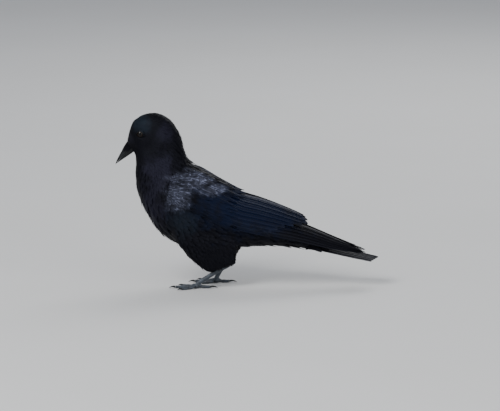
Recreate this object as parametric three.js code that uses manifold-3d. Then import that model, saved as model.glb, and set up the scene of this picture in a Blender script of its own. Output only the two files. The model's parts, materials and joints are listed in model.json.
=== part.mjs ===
// A life-size American crow, standing in mid step with its bill lowered and its wings folded.
// Millimetres, +Z up. The crow faces -X, its left side is -Y, and both feet rest on z = 0.
// Flesh and plumage are one lofted body, parted by thin plane cuts into head, neck and trunk.
// Folded wings and the closed tail are sheets of overlapping feathers with real steps and tips.

import * as THREE from "three";
import { mergeVertices } from "three/addons/utils/BufferGeometryUtils.js";
import Module from "manifold-3d";

const wasm = await Module();
wasm.setup();

// ---------------------------------------------------------------- driving dimensions

const GAP = 0.35; // clearance between neighbouring pieces
const LEFT = -1; // the sign of Y on the crow's left side
const RIGHT = 1;

// Body outline in the mid plane. Each station joins a point of the upper outline (forehead,
// crown, nape, back, rump) to one of the lower outline (chin, throat, breast, belly, vent).
// upper and lower are half widths near those points, and square is the superellipse power.
const BODY = [
  { top: [-187, 222], bottom: [-175.5, 209.5], upper: 7.5, lower: 7.5, square: 2.2 },
  { top: [-184.5, 231.5], bottom: [-173.5, 208.7], upper: 11, lower: 10.5, square: 2.3 },
  { top: [-181.5, 243], bottom: [-172.3, 208], upper: 15.5, lower: 14, square: 2.4 },
  { top: [-177, 257.5], bottom: [-171.5, 203], upper: 19, lower: 18, square: 2.5 },
  { top: [-162, 268.5], bottom: [-171.8, 195], upper: 21, lower: 22, square: 2.6 },
  { top: [-147, 272], bottom: [-172.8, 183.5], upper: 22, lower: 25.5, square: 2.6 },
  { top: [-130, 270], bottom: [-173, 169], upper: 23, lower: 29.5, square: 2.6 },
  { top: [-114.5, 259], bottom: [-172, 155], upper: 25, lower: 33, square: 2.5 },
  { top: [-103.5, 242.5], bottom: [-169, 141], upper: 27.5, lower: 36.5, square: 2.4 },
  { top: [-97, 222], bottom: [-163.5, 126], upper: 31, lower: 40, square: 2.3 },
  { top: [-91.5, 203], bottom: [-155, 111], upper: 36, lower: 43, square: 2.2 },
  { top: [-81, 193], bottom: [-143.5, 90.5], upper: 41.5, lower: 45, square: 2.15 },
  { top: [-60.5, 180], bottom: [-123, 72], upper: 46, lower: 45.5, square: 2.1 },
  { top: [-38.5, 166.5], bottom: [-97.5, 61], upper: 47, lower: 45, square: 2.1 },
  { top: [-14, 150.5], bottom: [-68, 58.5], upper: 46, lower: 43, square: 2.1 },
  { top: [11, 138.5], bottom: [-38.5, 58], upper: 42, lower: 39, square: 2.1 },
  { top: [36, 125.5], bottom: [-3, 60], upper: 36.5, lower: 34, square: 2.1 },
  { top: [60.5, 112], bottom: [32.5, 61], upper: 30, lower: 28.5, square: 2.1 },
  { top: [82.5, 98], bottom: [67, 60], upper: 23.5, lower: 23, square: 2.1 },
  { top: [103, 84], bottom: [101, 56.5], upper: 16.5, lower: 18.5, square: 2.1 },
  { top: [119, 73.5], bottom: [130, 51.5], upper: 9, lower: 12, square: 2.1 },
];
const BODY_RINGS = 26;
const BODY_SIDES = 18;

// The two cuts that part the body: a point on each, and the tilt of both below the horizontal.
const HEAD_CUT = [-107, 249.5];
const NECK_CUT = [-91.5, 202];
const CUT_TILT = THREE.MathUtils.degToRad(37);

// Bill, in its own frame: along runs from the feathered base to the tip, high is towards the culmen.
const BILL_BASE = [-179, 216.5];
const BILL_PITCH = THREE.MathUtils.degToRad(44.3);
const UPPER_BILL = [
  { along: -11, crest: 9.8, edge: -0.6, half: 8.2 },
  { along: 0, crest: 9.6, edge: -0.4, half: 7.1 },
  { along: 9, crest: 8.1, edge: 0, half: 5.6 },
  { along: 18, crest: 5.7, edge: -0.1, half: 4.1 },
  { along: 26, crest: 3.1, edge: -0.4, half: 2.6 },
  { along: 32, crest: 0.7, edge: -1.0, half: 1.4 },
  { along: 35.4, crest: -1.6, edge: -2.2, half: 0.4 },
];
const LOWER_BILL = [
  { along: -11, crest: -8.2, edge: -0.95, half: 7.4 },
  { along: 0, crest: -7.3, edge: -0.75, half: 6.3 },
  { along: 10, crest: -5.9, edge: -0.4, half: 4.9 },
  { along: 19, crest: -4.2, edge: -0.5, half: 3.4 },
  { along: 27, crest: -2.8, edge: -0.9, half: 1.9 },
  { along: 32.6, crest: -1.9, edge: -1.4, half: 0.5 },
];
const BILL_RINGS = 9;
const BILL_SIDES = 7;
const BILL_FULLNESS = 0.85; // under 1 the sides are fuller than a circle's
const BILL_SEAT = 0.45; // the share of the bill's length that its socket clears

// Eyeball: the feathers and lids cover all but a disc of it, which sits in a shallow hollow.
const EYE = { x: -163.5, out: 15, z: 241, radius: 7 };
const EYE_HOLLOW = { radius: 15, depth: 1.6 };

// Folded wing: top and low are its edges as [x, out from the mid plane, z], with how far the
// surface between them bulges outwards and, at the bend of the wing, forwards.
const WING = [
  { top: [-110, 36, 178], low: [-121, 45, 141], bulge: 7, lead: 9 },
  { top: [-80, 27, 184.5], low: [-98, 47, 128], bulge: 12, lead: 3 },
  { top: [-42, 17, 165.5], low: [-62, 49, 114.5], bulge: 12, lead: 0 },
  { top: [-10, 10, 149.6], low: [-20, 46, 98.5], bulge: 13, lead: 0 },
  { top: [20, 6, 140.5], low: [20, 41, 89.5], bulge: 12, lead: 0 },
  { top: [52, 3.5, 128.5], low: [56, 34, 82.5], bulge: 9.5, lead: 0 },
  { top: [92, 3, 111], low: [100, 27, 74], bulge: 7, lead: 0 },
];
const COVERTS_END = 0.5; // where the greater coverts end, as a share of the wing's surface
const COVERT_BANDS = [0.2, 0.34, COVERTS_END]; // free edges of lesser, median and greater rows
const COVERT_WAVES = 4; // the waves of that edge
const COVERT_SCALLOP = 0.012; // and their height, as a share of the wing's surface
const COVERTS_THICK = 6.5;
const SECONDARIES = 8; // visible strips, the three tertials first
const SECONDARIES_LOW = 0.86; // the primaries show below this share of the wing's depth
const SECONDARIES_THICK = 2.6;
const TERTIALS = 3;
const TERTIAL_TIP = { first: 0.97, step: 0.015 }; // tips as shares of the wing's surface
const SECONDARY_SHORTER = 0.05; // how much each secondary falls short of the one above
const SECONDARY_CORNER = 0.045; // how far the corners of a tip fall short of it, as a share

// Primaries: they come out from under the secondaries and run back to either side of the tail.
const PRIMARY = [
  { top: [-12, 41, 118], low: [-14, 44, 97], bulge: 2, lead: 0 },
  { top: [20, 35, 112], low: [20, 40.5, 88.5], bulge: 3, lead: 0 },
  { top: [56, 19, 108], low: [56, 34.5, 80.5], bulge: 6, lead: 0 },
  { top: [92, 8, 96.5], low: [92, 28, 71.5], bulge: 5, lead: 0 },
  { top: [128, 7, 81], low: [129, 22.5, 62], bulge: 4, lead: 0 },
  { top: [158, 8, 67.5], low: [158, 17.5, 56.5], bulge: 2.5, lead: 0 },
  { top: [184, 8, 56.5], low: [184, 14, 52], bulge: 1.5, lead: 0 },
];
const PRIMARIES = 6;
const PRIMARIES_THICK = 2.4;
const LONGEST_PRIMARY = 3;
const PRIMARY_SHORTER = 0.012; // grows with the square of the distance from the longest
const PRIMARY_CORNER = 0.03;

// Closed tail: twelve feathers, the middle pair on top.
const TAIL = {
  root: [72, 78],
  tip: [204, 45],
  rootHalf: 13,
  tipHalf: 26.5,
  rootArch: 11,
  tipArch: 5.5,
  spread: 0.8, // the power by which it widens towards the tip
  droop: 0.8, // how far the outermost feathers lie below the middle pair
};
const TAIL_SIDE_FEATHERS = 6;
const TAIL_THICK = 2.2;
const TAIL_ROUNDING = 0.09; // how much shorter the outermost pair is, as a share
const TAIL_CORNER = 0.025; // how far the corners of a tip fall short of it, as a share

const FEATHER_STEP = 0.8; // the height of a feather's free edge above the next one
const FEATHER_LINES = { low: 0.02, shaft: 0.5, free: 0.98 }; // shares of a feather's width
const EDGE_SINK = 1.2; // how far the coverts' front, top and low edges sink into the plumage
const COVERTS_FRONT = 0.03; // where that sunken front ends
const BED_LIFT = 5; // how far a sheet's bed is cut clear above it
const BED_DEPTH = 0.6; // and below it
const BED_LEAD = 0.006; // and, as a share of its length, in front of it and behind it
const SHEET_GROWTH = { u: 0.005, v: 0.03 }; // share of a sheet that makes 1 mm at its edges

// Feathered thighs: sections from front to rear edge, as [x, z], with the half thickness.
const THIGHS = {
  [LEFT]: {
    out: 26,
    sections: [
      { front: [-108, 98], rear: [-22, 98], half: 9 },
      { front: [-117, 82], rear: [-8, 84], half: 16 },
      { front: [-107, 65], rear: [-10, 68], half: 15.5 },
      { front: [-93, 51.5], rear: [-14, 57], half: 14 },
      { front: [-80.5, 39], rear: [-15, 47], half: 11.5 },
      { front: [-69, 27], rear: [-16, 40.5], half: 8.5 },
      { front: [-55, 25], rear: [-21, 36], half: 5.5 },
    ],
  },
  [RIGHT]: {
    out: 24,
    sections: [
      { front: [-98, 96], rear: [-20, 96], half: 9 },
      { front: [-108, 80], rear: [-2, 82], half: 16 },
      { front: [-96, 60], rear: [-5, 64], half: 15.5 },
      { front: [-82, 48], rear: [-8, 55], half: 13.5 },
      { front: [-68, 40], rear: [-11, 49.5], half: 11 },
      { front: [-54, 36.5], rear: [-13.5, 45.5], half: 8.5 },
      { front: [-43, 37], rear: [-17, 43], half: 5.5 },
    ],
  },
};

const THIGH_SQUARE = 0.9; // under 1 the sections are a little squarer than an ellipse
const THIGH_RINGS = 7;
const THIGH_SIDES = 12;

// Legs: ankle and toe base as [x, out, z]. The left foot is a step ahead of the right.
const LEGS = {
  [LEFT]: { ankle: [-29, 27, 38], base: [-77.5, 24, 7.2] },
  [RIGHT]: { ankle: [-20.5, 23, 56], base: [-48, 22, 7.2] },
};
const SHANK = [
  { at: -0.06, deep: 3.2, wide: 2.6 },
  { at: 0.03, deep: 4.4, wide: 3.5 },
  { at: 0.14, deep: 3.7, wide: 2.9 },
  { at: 0.5, deep: 3.0, wide: 2.3 },
  { at: 0.85, deep: 3.2, wide: 2.9 },
  { at: 1.0, deep: 3.4, wide: 3.6 },
];
const SHANK_RINGS = 7;
const SHANK_SIDES = 8;
const PAD = { long: 5.6, wide: 5.4, deep: 4.6, z: 3.9 }; // ball of the foot, under the toe base

// Toes: heading is the angle from straight ahead, positive away from the body.
const TOE_START = 5; // where the toes leave the ball of the foot
const TOE_TAPER = [1.06, 0.8]; // factors of the radius at either end
const TOE_PADS = 0.12; // the swelling of the pads between the joints
const TOE_AXIS = 0.82; // height of a toe's axis, as a share of its radius
const TOE_ROOT = { rise: 1.8, until: 0.3 }; // the rise of the axis into the ball of the foot
const TOE_SIDES = 7;
const CLAW = { root: 0.62, tip: 0.28, start: 0.9, rise: 0.38, fall: 0.52, flat: 0.8 };
const CLAW_FLOOR = 0.15; // the least room under a claw
const CLAW_RINGS = 4;
const CLAW_SIDES = 6;
const TOES = [
  { name: "hind_toe", heading: 180, offset: 0, length: 20, radius: 2.7, claw: 12.5, joints: 2 },
  { name: "inner_toe", heading: -27, offset: -3.4, length: 24, radius: 2.5, claw: 9, joints: 2 },
  { name: "middle_toe", heading: 1, offset: 0, length: 33, radius: 2.7, claw: 10, joints: 3 },
  { name: "outer_toe", heading: 29, offset: 3.4, length: 26, radius: 2.4, claw: 8.5, joints: 4 },
];

// ---------------------------------------------------------------- materials

const FINISH = {
  plumage: new THREE.MeshStandardMaterial({ color: 0x0b0b10, roughness: 0.55 }),
  flight: new THREE.MeshStandardMaterial({ color: 0x090a14, roughness: 0.42 }),
  horn: new THREE.MeshStandardMaterial({ color: 0x0d0d0e, roughness: 0.38 }),
  scales: new THREE.MeshStandardMaterial({ color: 0x23242a, roughness: 0.5 }),
  eye: new THREE.MeshStandardMaterial({ color: 0x140b06, roughness: 0.06 }),
};

// ---------------------------------------------------------------- curves and surfaces

// A value on the Catmull-Rom spline through a list of numbers or of equal arrays, for t from 0
// to 1; a little beyond either end it runs on.
function along(list, t) {
  const reach = t * (list.length - 1);
  const i = THREE.MathUtils.clamp(Math.floor(reach), 0, list.length - 2);
  const s = reach - i;
  const at = (k) => list[THREE.MathUtils.clamp(k, 0, list.length - 1)];
  const cubic = (a, b, c, d) =>
    b + 0.5 * s * (c - a + s * (2 * a - 5 * b + 4 * c - d + s * (3 * (b - c) + d - a)));
  const four = [at(i - 1), at(i), at(i + 1), at(i + 2)];
  return Array.isArray(list[0])
    ? list[0].map((_, k) => cubic(...four.map((p) => p[k])))
    : cubic(...four);
}

// The same for one named value of a table of stations.
const valueAt = (stations, key, t) => along(stations.map((s) => s[key]), t);

const smooth = (t) => THREE.MathUtils.smoothstep(t, 0, 1);
const powered = (x, power) => Math.sign(x) * Math.abs(x) ** power;
const steps = (count) => Array.from({ length: count + 1 }, (_, i) => i / count);

// A closed geometry from points and triangles.
function geometryFrom(points, triangles) {
  const geometry = new THREE.BufferGeometry().setFromPoints(points);
  geometry.setIndex(triangles);
  return geometry;
}

// A ball without the attributes that would keep its seam apart.
function ball(radius, around, down) {
  const geometry = new THREE.SphereGeometry(radius, around, down);
  geometry.deleteAttribute("normal");
  geometry.deleteAttribute("uv");
  return geometry;
}

// Skins closed rings of equal size, and closes both ends on their centres.
function loft(rings) {
  const sides = rings[0].length;
  const points = rings.flat();
  const triangles = [];
  for (let r = 0; r + 1 < rings.length; r++) {
    for (let s = 0; s < sides; s++) {
      const a = r * sides + s;
      const b = r * sides + ((s + 1) % sides);
      triangles.push(a, b, a + sides, b, b + sides, a + sides);
    }
  }
  for (const [ring, flip] of [[0, false], [rings.length - 1, true]]) {
    const centre = points.length;
    const middle = rings[ring].reduce((sum, p) => sum.add(p), new THREE.Vector3());
    points.push(middle.divideScalar(sides));
    for (let s = 0; s < sides; s++) {
      const a = ring * sides + s;
      const b = ring * sides + ((s + 1) % sides);
      triangles.push(...(flip ? [a, b, centre] : [b, a, centre]));
    }
  }
  return geometryFrom(points, triangles);
}

// Skins an outer and an inner grid of equal size, and closes the wall round their edges.
function plate(outer, inner) {
  const rows = outer.length;
  const columns = outer[0].length;
  const points = [...outer.flat(), ...inner.flat()];
  const under = rows * columns;
  const triangles = [];
  const quad = (a, b, c, d) => triangles.push(a, b, c, a, c, d);
  for (let r = 0; r + 1 < rows; r++) {
    for (let c = 0; c + 1 < columns; c++) {
      const a = r * columns + c;
      quad(a, a + 1, a + columns + 1, a + columns);
      quad(under + a, under + a + columns, under + a + columns + 1, under + a + 1);
    }
  }
  const rim = [];
  for (let c = 0; c < columns; c++) rim.push(c);
  for (let r = 1; r < rows; r++) rim.push(r * columns + columns - 1);
  for (let c = columns - 2; c >= 0; c--) rim.push((rows - 1) * columns + c);
  for (let r = rows - 2; r > 0; r--) rim.push(r * columns);
  rim.forEach((a, i) => {
    const b = rim[(i + 1) % rim.length];
    quad(b, a, under + a, under + b);
  });
  return geometryFrom(points, triangles);
}

// ---------------------------------------------------------------- solids

// A manifold-3d solid from a closed geometry, turned to face outwards.
function solid(geometry) {
  const merged = mergeVertices(geometry, 1e-4);
  const triVerts = new Uint32Array(merged.index.array);
  const build = () =>
    new wasm.Manifold(
      new wasm.Mesh({ numProp: 3, vertProperties: merged.attributes.position.array, triVerts }),
    );
  const made = build();
  if (made.volume() > 0) return made;
  for (let i = 0; i < triVerts.length; i += 3) {
    [triVerts[i + 1], triVerts[i + 2]] = [triVerts[i + 2], triVerts[i + 1]];
  }
  return build();
}

// The largest body of a solid, without the slivers that a cut can leave.
function mainBody(made) {
  return made.decompose().reduce((best, one) => (one.volume() > best.volume() ? one : best));
}

// A solid less all of these cutters.
const without = (made, ...cutters) => cutters.reduce((left, cutter) => left.subtract(cutter), made);

// Adds a solid to the group as a named mesh.
function addNode(name, made, material) {
  const mesh = mainBody(made).getMesh();
  const positions = [];
  for (let i = 0; i < mesh.numVert; i++) {
    positions.push(...mesh.vertProperties.subarray(i * mesh.numProp, i * mesh.numProp + 3));
  }
  const geometry = new THREE.BufferGeometry();
  geometry.setAttribute("position", new THREE.Float32BufferAttribute(positions, 3));
  geometry.setIndex(Array.from(mesh.triVerts));
  geometry.computeVertexNormals();
  const node = new THREE.Mesh(geometry, material);
  node.name = name;
  crow.add(node);
}

// ---------------------------------------------------------------- body

function bodyRing(t) {
  const top = valueAt(BODY, "top", t);
  const bottom = valueAt(BODY, "bottom", t);
  const high = new THREE.Vector3(top[0], 0, top[1]);
  const low = new THREE.Vector3(bottom[0], 0, bottom[1]);
  const middle = high.clone().add(low).divideScalar(2);
  const reach = high.clone().sub(middle);
  const power = 2 / valueAt(BODY, "square", t);
  const upper = valueAt(BODY, "upper", t);
  const lower = valueAt(BODY, "lower", t);
  return steps(BODY_SIDES).slice(1).map((share) => {
    const angle = share * 2 * Math.PI;
    const up = powered(Math.cos(angle), power);
    const half = THREE.MathUtils.lerp(upper, lower, smooth((1 - up) / 2));
    const point = middle.clone().addScaledVector(reach, up);
    point.y = half * powered(Math.sin(angle), power);
    return point;
  });
}

const bodySolid = () => solid(loft(steps(BODY_RINGS).map(bodyRing)));

// ---------------------------------------------------------------- feather sheets

// A point and outward normal of a surface spanned by two edges, u along it and v across.
function edgedSurface(stations, side) {
  const place = (u, v) => {
    const top = new THREE.Vector3(...valueAt(stations, "top", u));
    const low = new THREE.Vector3(...valueAt(stations, "low", u));
    const pull = new THREE.Vector3(-valueAt(stations, "lead", u), valueAt(stations, "bulge", u), 0);
    const point = top.lerp(low, v).addScaledVector(pull, 4 * v * (1 - v));
    return new THREE.Vector3(point.x, side * point.y, point.z);
  };
  return (u, v) => {
    const d = 0.01;
    const point = place(u, v);
    const alongU = place(u + d, v).sub(place(u - d, v));
    const acrossV = place(u, v + d).sub(place(u, v - d));
    const normal = alongU.cross(acrossV).normalize();
    if (normal.y * side < 0) normal.negate();
    return { point, normal };
  };
}

// The tail's surface: u runs back from its root, v from -1 at the left edge to 1 at the right.
function tailSurface(u, v) {
  const half = THREE.MathUtils.lerp(TAIL.rootHalf, TAIL.tipHalf, Math.max(u, 0) ** TAIL.spread);
  const x = THREE.MathUtils.lerp(TAIL.root[0], TAIL.tip[0], u);
  const arch = THREE.MathUtils.lerp(TAIL.rootArch, TAIL.tipArch, u);
  const z = THREE.MathUtils.lerp(TAIL.root[1], TAIL.tip[1], u) - arch * v * v;
  return { point: new THREE.Vector3(x, v * half, z), normal: new THREE.Vector3(0, 0, 1) };
}

// A plate over a surface. rows are {v, lift, reach} and columns {u, lift}: lift raises the outer
// side, which makes the steps between feathers, and reach is how far along u the row extends.
// deep, where given, is the share of the thickness there. grow widens the whole plate, to cut
// the room for it out of its neighbours.
function sheet(surface, rows, columns, thick, grow = 0) {
  const start = columns[0].u;
  const end = (index, list) => (index === list.length - 1) - (index === 0);
  const at = (r, c, height) => {
    const reach = rows[r].reach + SHEET_GROWTH.u * grow;
    const early = c === 0 ? SHEET_GROWTH.u * grow : 0;
    const u = start + (columns[c].u - start) * reach - early;
    const { point, normal } = surface(u, rows[r].v + SHEET_GROWTH.v * grow * end(r, rows));
    return point.addScaledVector(normal, height);
  };
  const outer = rows.map((row, r) =>
    columns.map((column, c) => at(r, c, grow + row.lift + column.lift)),
  );
  const depth = (row, column) => thick * (row.deep ?? 1) * (column.deep ?? 1) + grow;
  const inner = rows.map((row, r) => columns.map((column, c) => at(r, c, -depth(row, column))));
  return solid(plate(outer, inner));
}

// Rows for feathers that lie side by side from v = from to v = to, each over the next one.
// tip(i) is how far the feather reaches, and its corners fall short of that by round.
function featherRows(count, from, to, tip, round) {
  return Array.from({ length: count }, (_, i) => {
    const v = (share) => THREE.MathUtils.lerp(from, to, (i + share) / count);
    return [
      { v: v(FEATHER_LINES.low), lift: 0, reach: tip(i) - round },
      { v: v(FEATHER_LINES.shaft), lift: FEATHER_STEP * 0.6, reach: tip(i) },
      { v: v(FEATHER_LINES.free), lift: FEATHER_STEP, reach: tip(i) - round * 1.3 },
    ];
  }).flat();
}

// Fewer rows that reach as far: one through each feather's tip, and one along either edge.
function envelope(rows) {
  const tips = rows.filter((_, i) => i % 3 === 1);
  const first = { ...tips[0], v: rows[0].v };
  const last = { ...tips[tips.length - 1], v: rows[rows.length - 1].v };
  return [first, ...tips, last];
}

const evenColumns = (from, to, count) =>
  steps(count).map((share) => ({ u: THREE.MathUtils.lerp(from, to, share), lift: 0 }));

// Covert rows: the surface rises towards each band's free edge, and steps down after it.
function covertColumns() {
  const columns = [
    { u: 0, lift: -EDGE_SINK, deep: 0.5 },
    { u: COVERTS_FRONT, lift: 0, deep: 0.75 },
  ];
  let start = COVERTS_FRONT;
  for (const end of COVERT_BANDS) {
    const middle = (start + end) / 2;
    columns.push({ u: middle, lift: FEATHER_STEP / 2 }, { u: end, lift: FEATHER_STEP });
    if (end < COVERTS_END) columns.push({ u: end + 0.004, lift: 0 });
    start = end;
  }
  return columns;
}

const coverDepth = (v) => 0.5 + 0.5 * Math.sin(Math.PI * v);

const covertRows = () =>
  steps(2 * COVERT_WAVES).map((share) => {
    const scallop = COVERT_SCALLOP * Math.cos(2 * Math.PI * COVERT_WAVES * share);
    const lift = share === 0 || share === 1 ? -EDGE_SINK : 0;
    return { v: share, lift, reach: 1 + scallop, deep: coverDepth(share) };
  });

// The parts of a wing. bed holds the rows of the smooth plate that clears a part's room.
function wingParts(side) {
  const arm = edgedSurface(WING, side);
  const secondaryTip = (i) =>
    i < TERTIALS
      ? TERTIAL_TIP.first + TERTIAL_TIP.step * i
      : 1 - SECONDARY_SHORTER * (i - TERTIALS + 1);
  const secondaryRows =
    featherRows(SECONDARIES, 0, SECONDARIES_LOW, secondaryTip, SECONDARY_CORNER);
  const primaryTip = (i) => 1 - PRIMARY_SHORTER * (i - LONGEST_PRIMARY) ** 2;
  const primaryRows = featherRows(PRIMARIES, 0, 1, primaryTip, PRIMARY_CORNER);
  return {
    coverts: {
      surface: arm,
      rows: covertRows(),
      bed: covertRows().map((row) => ({ ...row, reach: 1 + COVERT_SCALLOP })),
      columns: covertColumns(),
      thick: COVERTS_THICK,
    },
    secondaries: {
      surface: arm,
      rows: secondaryRows,
      bed: envelope(secondaryRows),
      columns: evenColumns(COVERTS_END + 0.008, 1, 3),
      thick: SECONDARIES_THICK,
    },
    primaries: {
      surface: edgedSurface(PRIMARY, side),
      rows: primaryRows,
      bed: envelope(primaryRows),
      columns: evenColumns(0, 1, 5),
      thick: PRIMARIES_THICK,
    },
  };
}

function tailPart() {
  const count = TAIL_SIDE_FEATHERS;
  const tip = (i) => 1 - TAIL_ROUNDING * (i / (count - 1)) ** 1.5;
  const half = featherRows(count, 0, 1, tip, TAIL_CORNER).slice(1);
  const mirrored = half.map((row) => ({ ...row, v: -row.v })).reverse();
  const lower = (row) => ({ ...row, lift: row.lift - Math.abs(row.v) * TAIL.droop });
  return {
    surface: tailSurface,
    rows: [...mirrored, ...half].map(lower),
    bed: [-1, -0.5, 0, 0.5, 1].map((v) => ({ v, reach: 1 })),
    columns: evenColumns(0, 1, 2),
    thick: TAIL_THICK,
  };
}

const sheetSolid = ({ surface, rows, columns, thick }, grow = 0) =>
  sheet(surface, rows, columns, thick, grow);

// The room for a sheet in the piece it lies on: a smooth plate that clears all above it.
function sheetBed({ surface, bed, columns, thick }) {
  const rows = bed.map((row) => ({ ...row, lift: BED_LIFT, reach: row.reach + BED_LEAD }));
  const level = columns.map(({ u, deep }, c) => ({ u: c === 0 ? u - BED_LEAD : u, lift: 0, deep }));
  return sheet(surface, rows, level, thick + BED_DEPTH, GAP);
}

// ---------------------------------------------------------------- bill and eyes

// An arch across one half of the bill, from its right cutting edge over the crest to its left.
function billArch(profile, t, grow = 0) {
  const forward = valueAt(profile, "along", t) - grow;
  const crest = valueAt(profile, "crest", t);
  const edge = valueAt(profile, "edge", t);
  const rise = crest - edge + Math.sign(crest) * grow;
  return steps(BILL_SIDES).map((share) => {
    const angle = Math.PI * share;
    const up = edge + rise * Math.sin(angle) ** BILL_FULLNESS;
    return new THREE.Vector3(
      BILL_BASE[0] - forward * Math.cos(BILL_PITCH) - up * Math.sin(BILL_PITCH),
      (valueAt(profile, "half", t) + grow) * Math.cos(angle),
      BILL_BASE[1] - forward * Math.sin(BILL_PITCH) + up * Math.cos(BILL_PITCH),
    );
  });
}

// Half of the bill: its arches, closed by a flat between the cutting edges.
const billSolid = (profile) => solid(loft(steps(BILL_RINGS).map((t) => billArch(profile, t))));

// The socket that both halves sit in, up to a little beyond the feathers.
function billSocket() {
  const rings = steps(3).map((share) => {
    const upper = billArch(UPPER_BILL, share * BILL_SEAT, GAP);
    const lower = billArch(LOWER_BILL, share * BILL_SEAT, GAP);
    return [...upper, ...lower.reverse()];
  });
  return solid(loft(rings));
}

const eyeSolid = (side, grow = 0) =>
  solid(ball(EYE.radius + grow, 12, 8).translate(EYE.x, side * EYE.out, EYE.z));

// The hollow round the eye: a ball that dips into the side of the head.
function eyeHollow(side) {
  const surface = EYE.out + EYE.radius;
  const out = surface + EYE_HOLLOW.radius - EYE_HOLLOW.depth;
  return solid(ball(EYE_HOLLOW.radius, 18, 12).translate(EYE.x, side * out, EYE.z));
}

// ---------------------------------------------------------------- legs and feet

function thighSolid(side, grow = 0) {
  const { out, sections } = THIGHS[side];
  const ring = (t) => {
    const front = valueAt(sections, "front", t);
    const rear = valueAt(sections, "rear", t);
    const fore = new THREE.Vector3(front[0], side * out, front[1]);
    const aft = new THREE.Vector3(rear[0], side * out, rear[1]);
    const middle = fore.clone().add(aft).divideScalar(2);
    const reach = fore.sub(middle);
    const half = valueAt(sections, "half", t) + grow;
    return steps(THIGH_SIDES).slice(1).map((share) => {
      const angle = share * 2 * Math.PI;
      const point = middle.clone().addScaledVector(reach, powered(Math.cos(angle), THIGH_SQUARE));
      point.y += half * powered(Math.sin(angle), THIGH_SQUARE);
      return point;
    });
  };
  return solid(loft(steps(THIGH_RINGS).map(ring)));
}

const legPoint = (side, [x, out, z]) => new THREE.Vector3(x, side * out, z);

// The bare shank with the ball of the foot at its lower end, flattened where it meets the floor.
function shankSolid(side, grow = 0) {
  const ankle = legPoint(side, LEGS[side].ankle);
  const base = legPoint(side, LEGS[side].base);
  const axis = base.clone().sub(ankle).normalize();
  const wide = new THREE.Vector3(0, 1, 0).projectOnPlane(axis).normalize();
  const deep = new THREE.Vector3().crossVectors(axis, wide);
  const ring = (t) => {
    const at = valueAt(SHANK, "at", t);
    const centre = ankle.clone().lerp(base, at);
    return steps(SHANK_SIDES).slice(1).map((share) => {
      const angle = share * 2 * Math.PI;
      return centre
        .clone()
        .addScaledVector(deep, (valueAt(SHANK, "deep", t) + grow) * Math.cos(angle))
        .addScaledVector(wide, (valueAt(SHANK, "wide", t) + grow) * Math.sin(angle));
    });
  };
  const shank = solid(loft(steps(SHANK_RINGS).map(ring)));
  const pad = ball(1, 8, 7);
  pad.scale(PAD.long + grow, PAD.wide + grow, PAD.deep + grow);
  pad.translate(base.x, base.y, PAD.z);
  return shank.add(solid(pad)).trimByPlane([0, 0, 1], 0);
}

// The frame of a toe: where it leaves the ball of the foot and which way it points.
function toeFrame(side, toe) {
  const heading = THREE.MathUtils.degToRad(toe.heading);
  const ahead = new THREE.Vector3(-Math.cos(heading), side * Math.sin(heading), 0);
  const across = new THREE.Vector3(-ahead.y, ahead.x, 0);
  const start = legPoint(side, LEGS[side].base).setZ(0);
  start.y += side * toe.offset;
  return { ahead, across, start };
}

// A toe: pads bulge between its joints, and their undersides are flats on the floor.
function toeSolid(side, toe) {
  const { ahead, across, start } = toeFrame(side, toe);
  const rings = steps(2 * toe.joints).map((t) => {
    const pads = 1 + TOE_PADS * Math.cos(2 * Math.PI * toe.joints * t);
    const radius = toe.radius * pads * THREE.MathUtils.lerp(...TOE_TAPER, t);
    const height = toe.radius * TOE_AXIS + TOE_ROOT.rise * (1 - smooth(t / TOE_ROOT.until));
    const reach = THREE.MathUtils.lerp(TOE_START, toe.length, t);
    const centre = start.clone().addScaledVector(ahead, reach).setZ(height);
    return steps(TOE_SIDES).slice(1).map((share) => {
      const angle = (share + 1 / (4 * TOE_SIDES)) * 2 * Math.PI;
      const point = centre.clone().addScaledVector(across, radius * Math.cos(angle));
      point.z = Math.max(0, height + radius * Math.sin(angle));
      return point;
    });
  });
  return solid(loft(rings));
}

// A claw: a tapering arc that leaves the toe's end, rises a little and curves down to its tip.
function clawSolid(side, toe) {
  const { ahead, across, start } = toeFrame(side, toe);
  const rings = steps(CLAW_RINGS).map((t) => {
    const radius = toe.radius * CLAW.root * (1 - t) ** 0.7 + CLAW.tip;
    const arc = toe.radius * CLAW.start + toe.claw * (CLAW.rise * t - CLAW.fall * t * t);
    const height = Math.max(arc, radius + CLAW_FLOOR);
    const reach = toe.length + GAP + toe.claw * t;
    const centre = start.clone().addScaledVector(ahead, reach).setZ(height);
    return steps(CLAW_SIDES).slice(1).map((share) => {
      const angle = share * 2 * Math.PI;
      const point = centre.clone().addScaledVector(across, radius * CLAW.flat * Math.cos(angle));
      point.z += radius * Math.sin(angle);
      return point;
    });
  });
  return solid(loft(rings));
}

// ---------------------------------------------------------------- assembly

const crow = new THREE.Group();
const sides = [["left", LEFT], ["right", RIGHT]];
const wings = { left: wingParts(LEFT), right: wingParts(RIGHT) };
const tail = tailPart();

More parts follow.
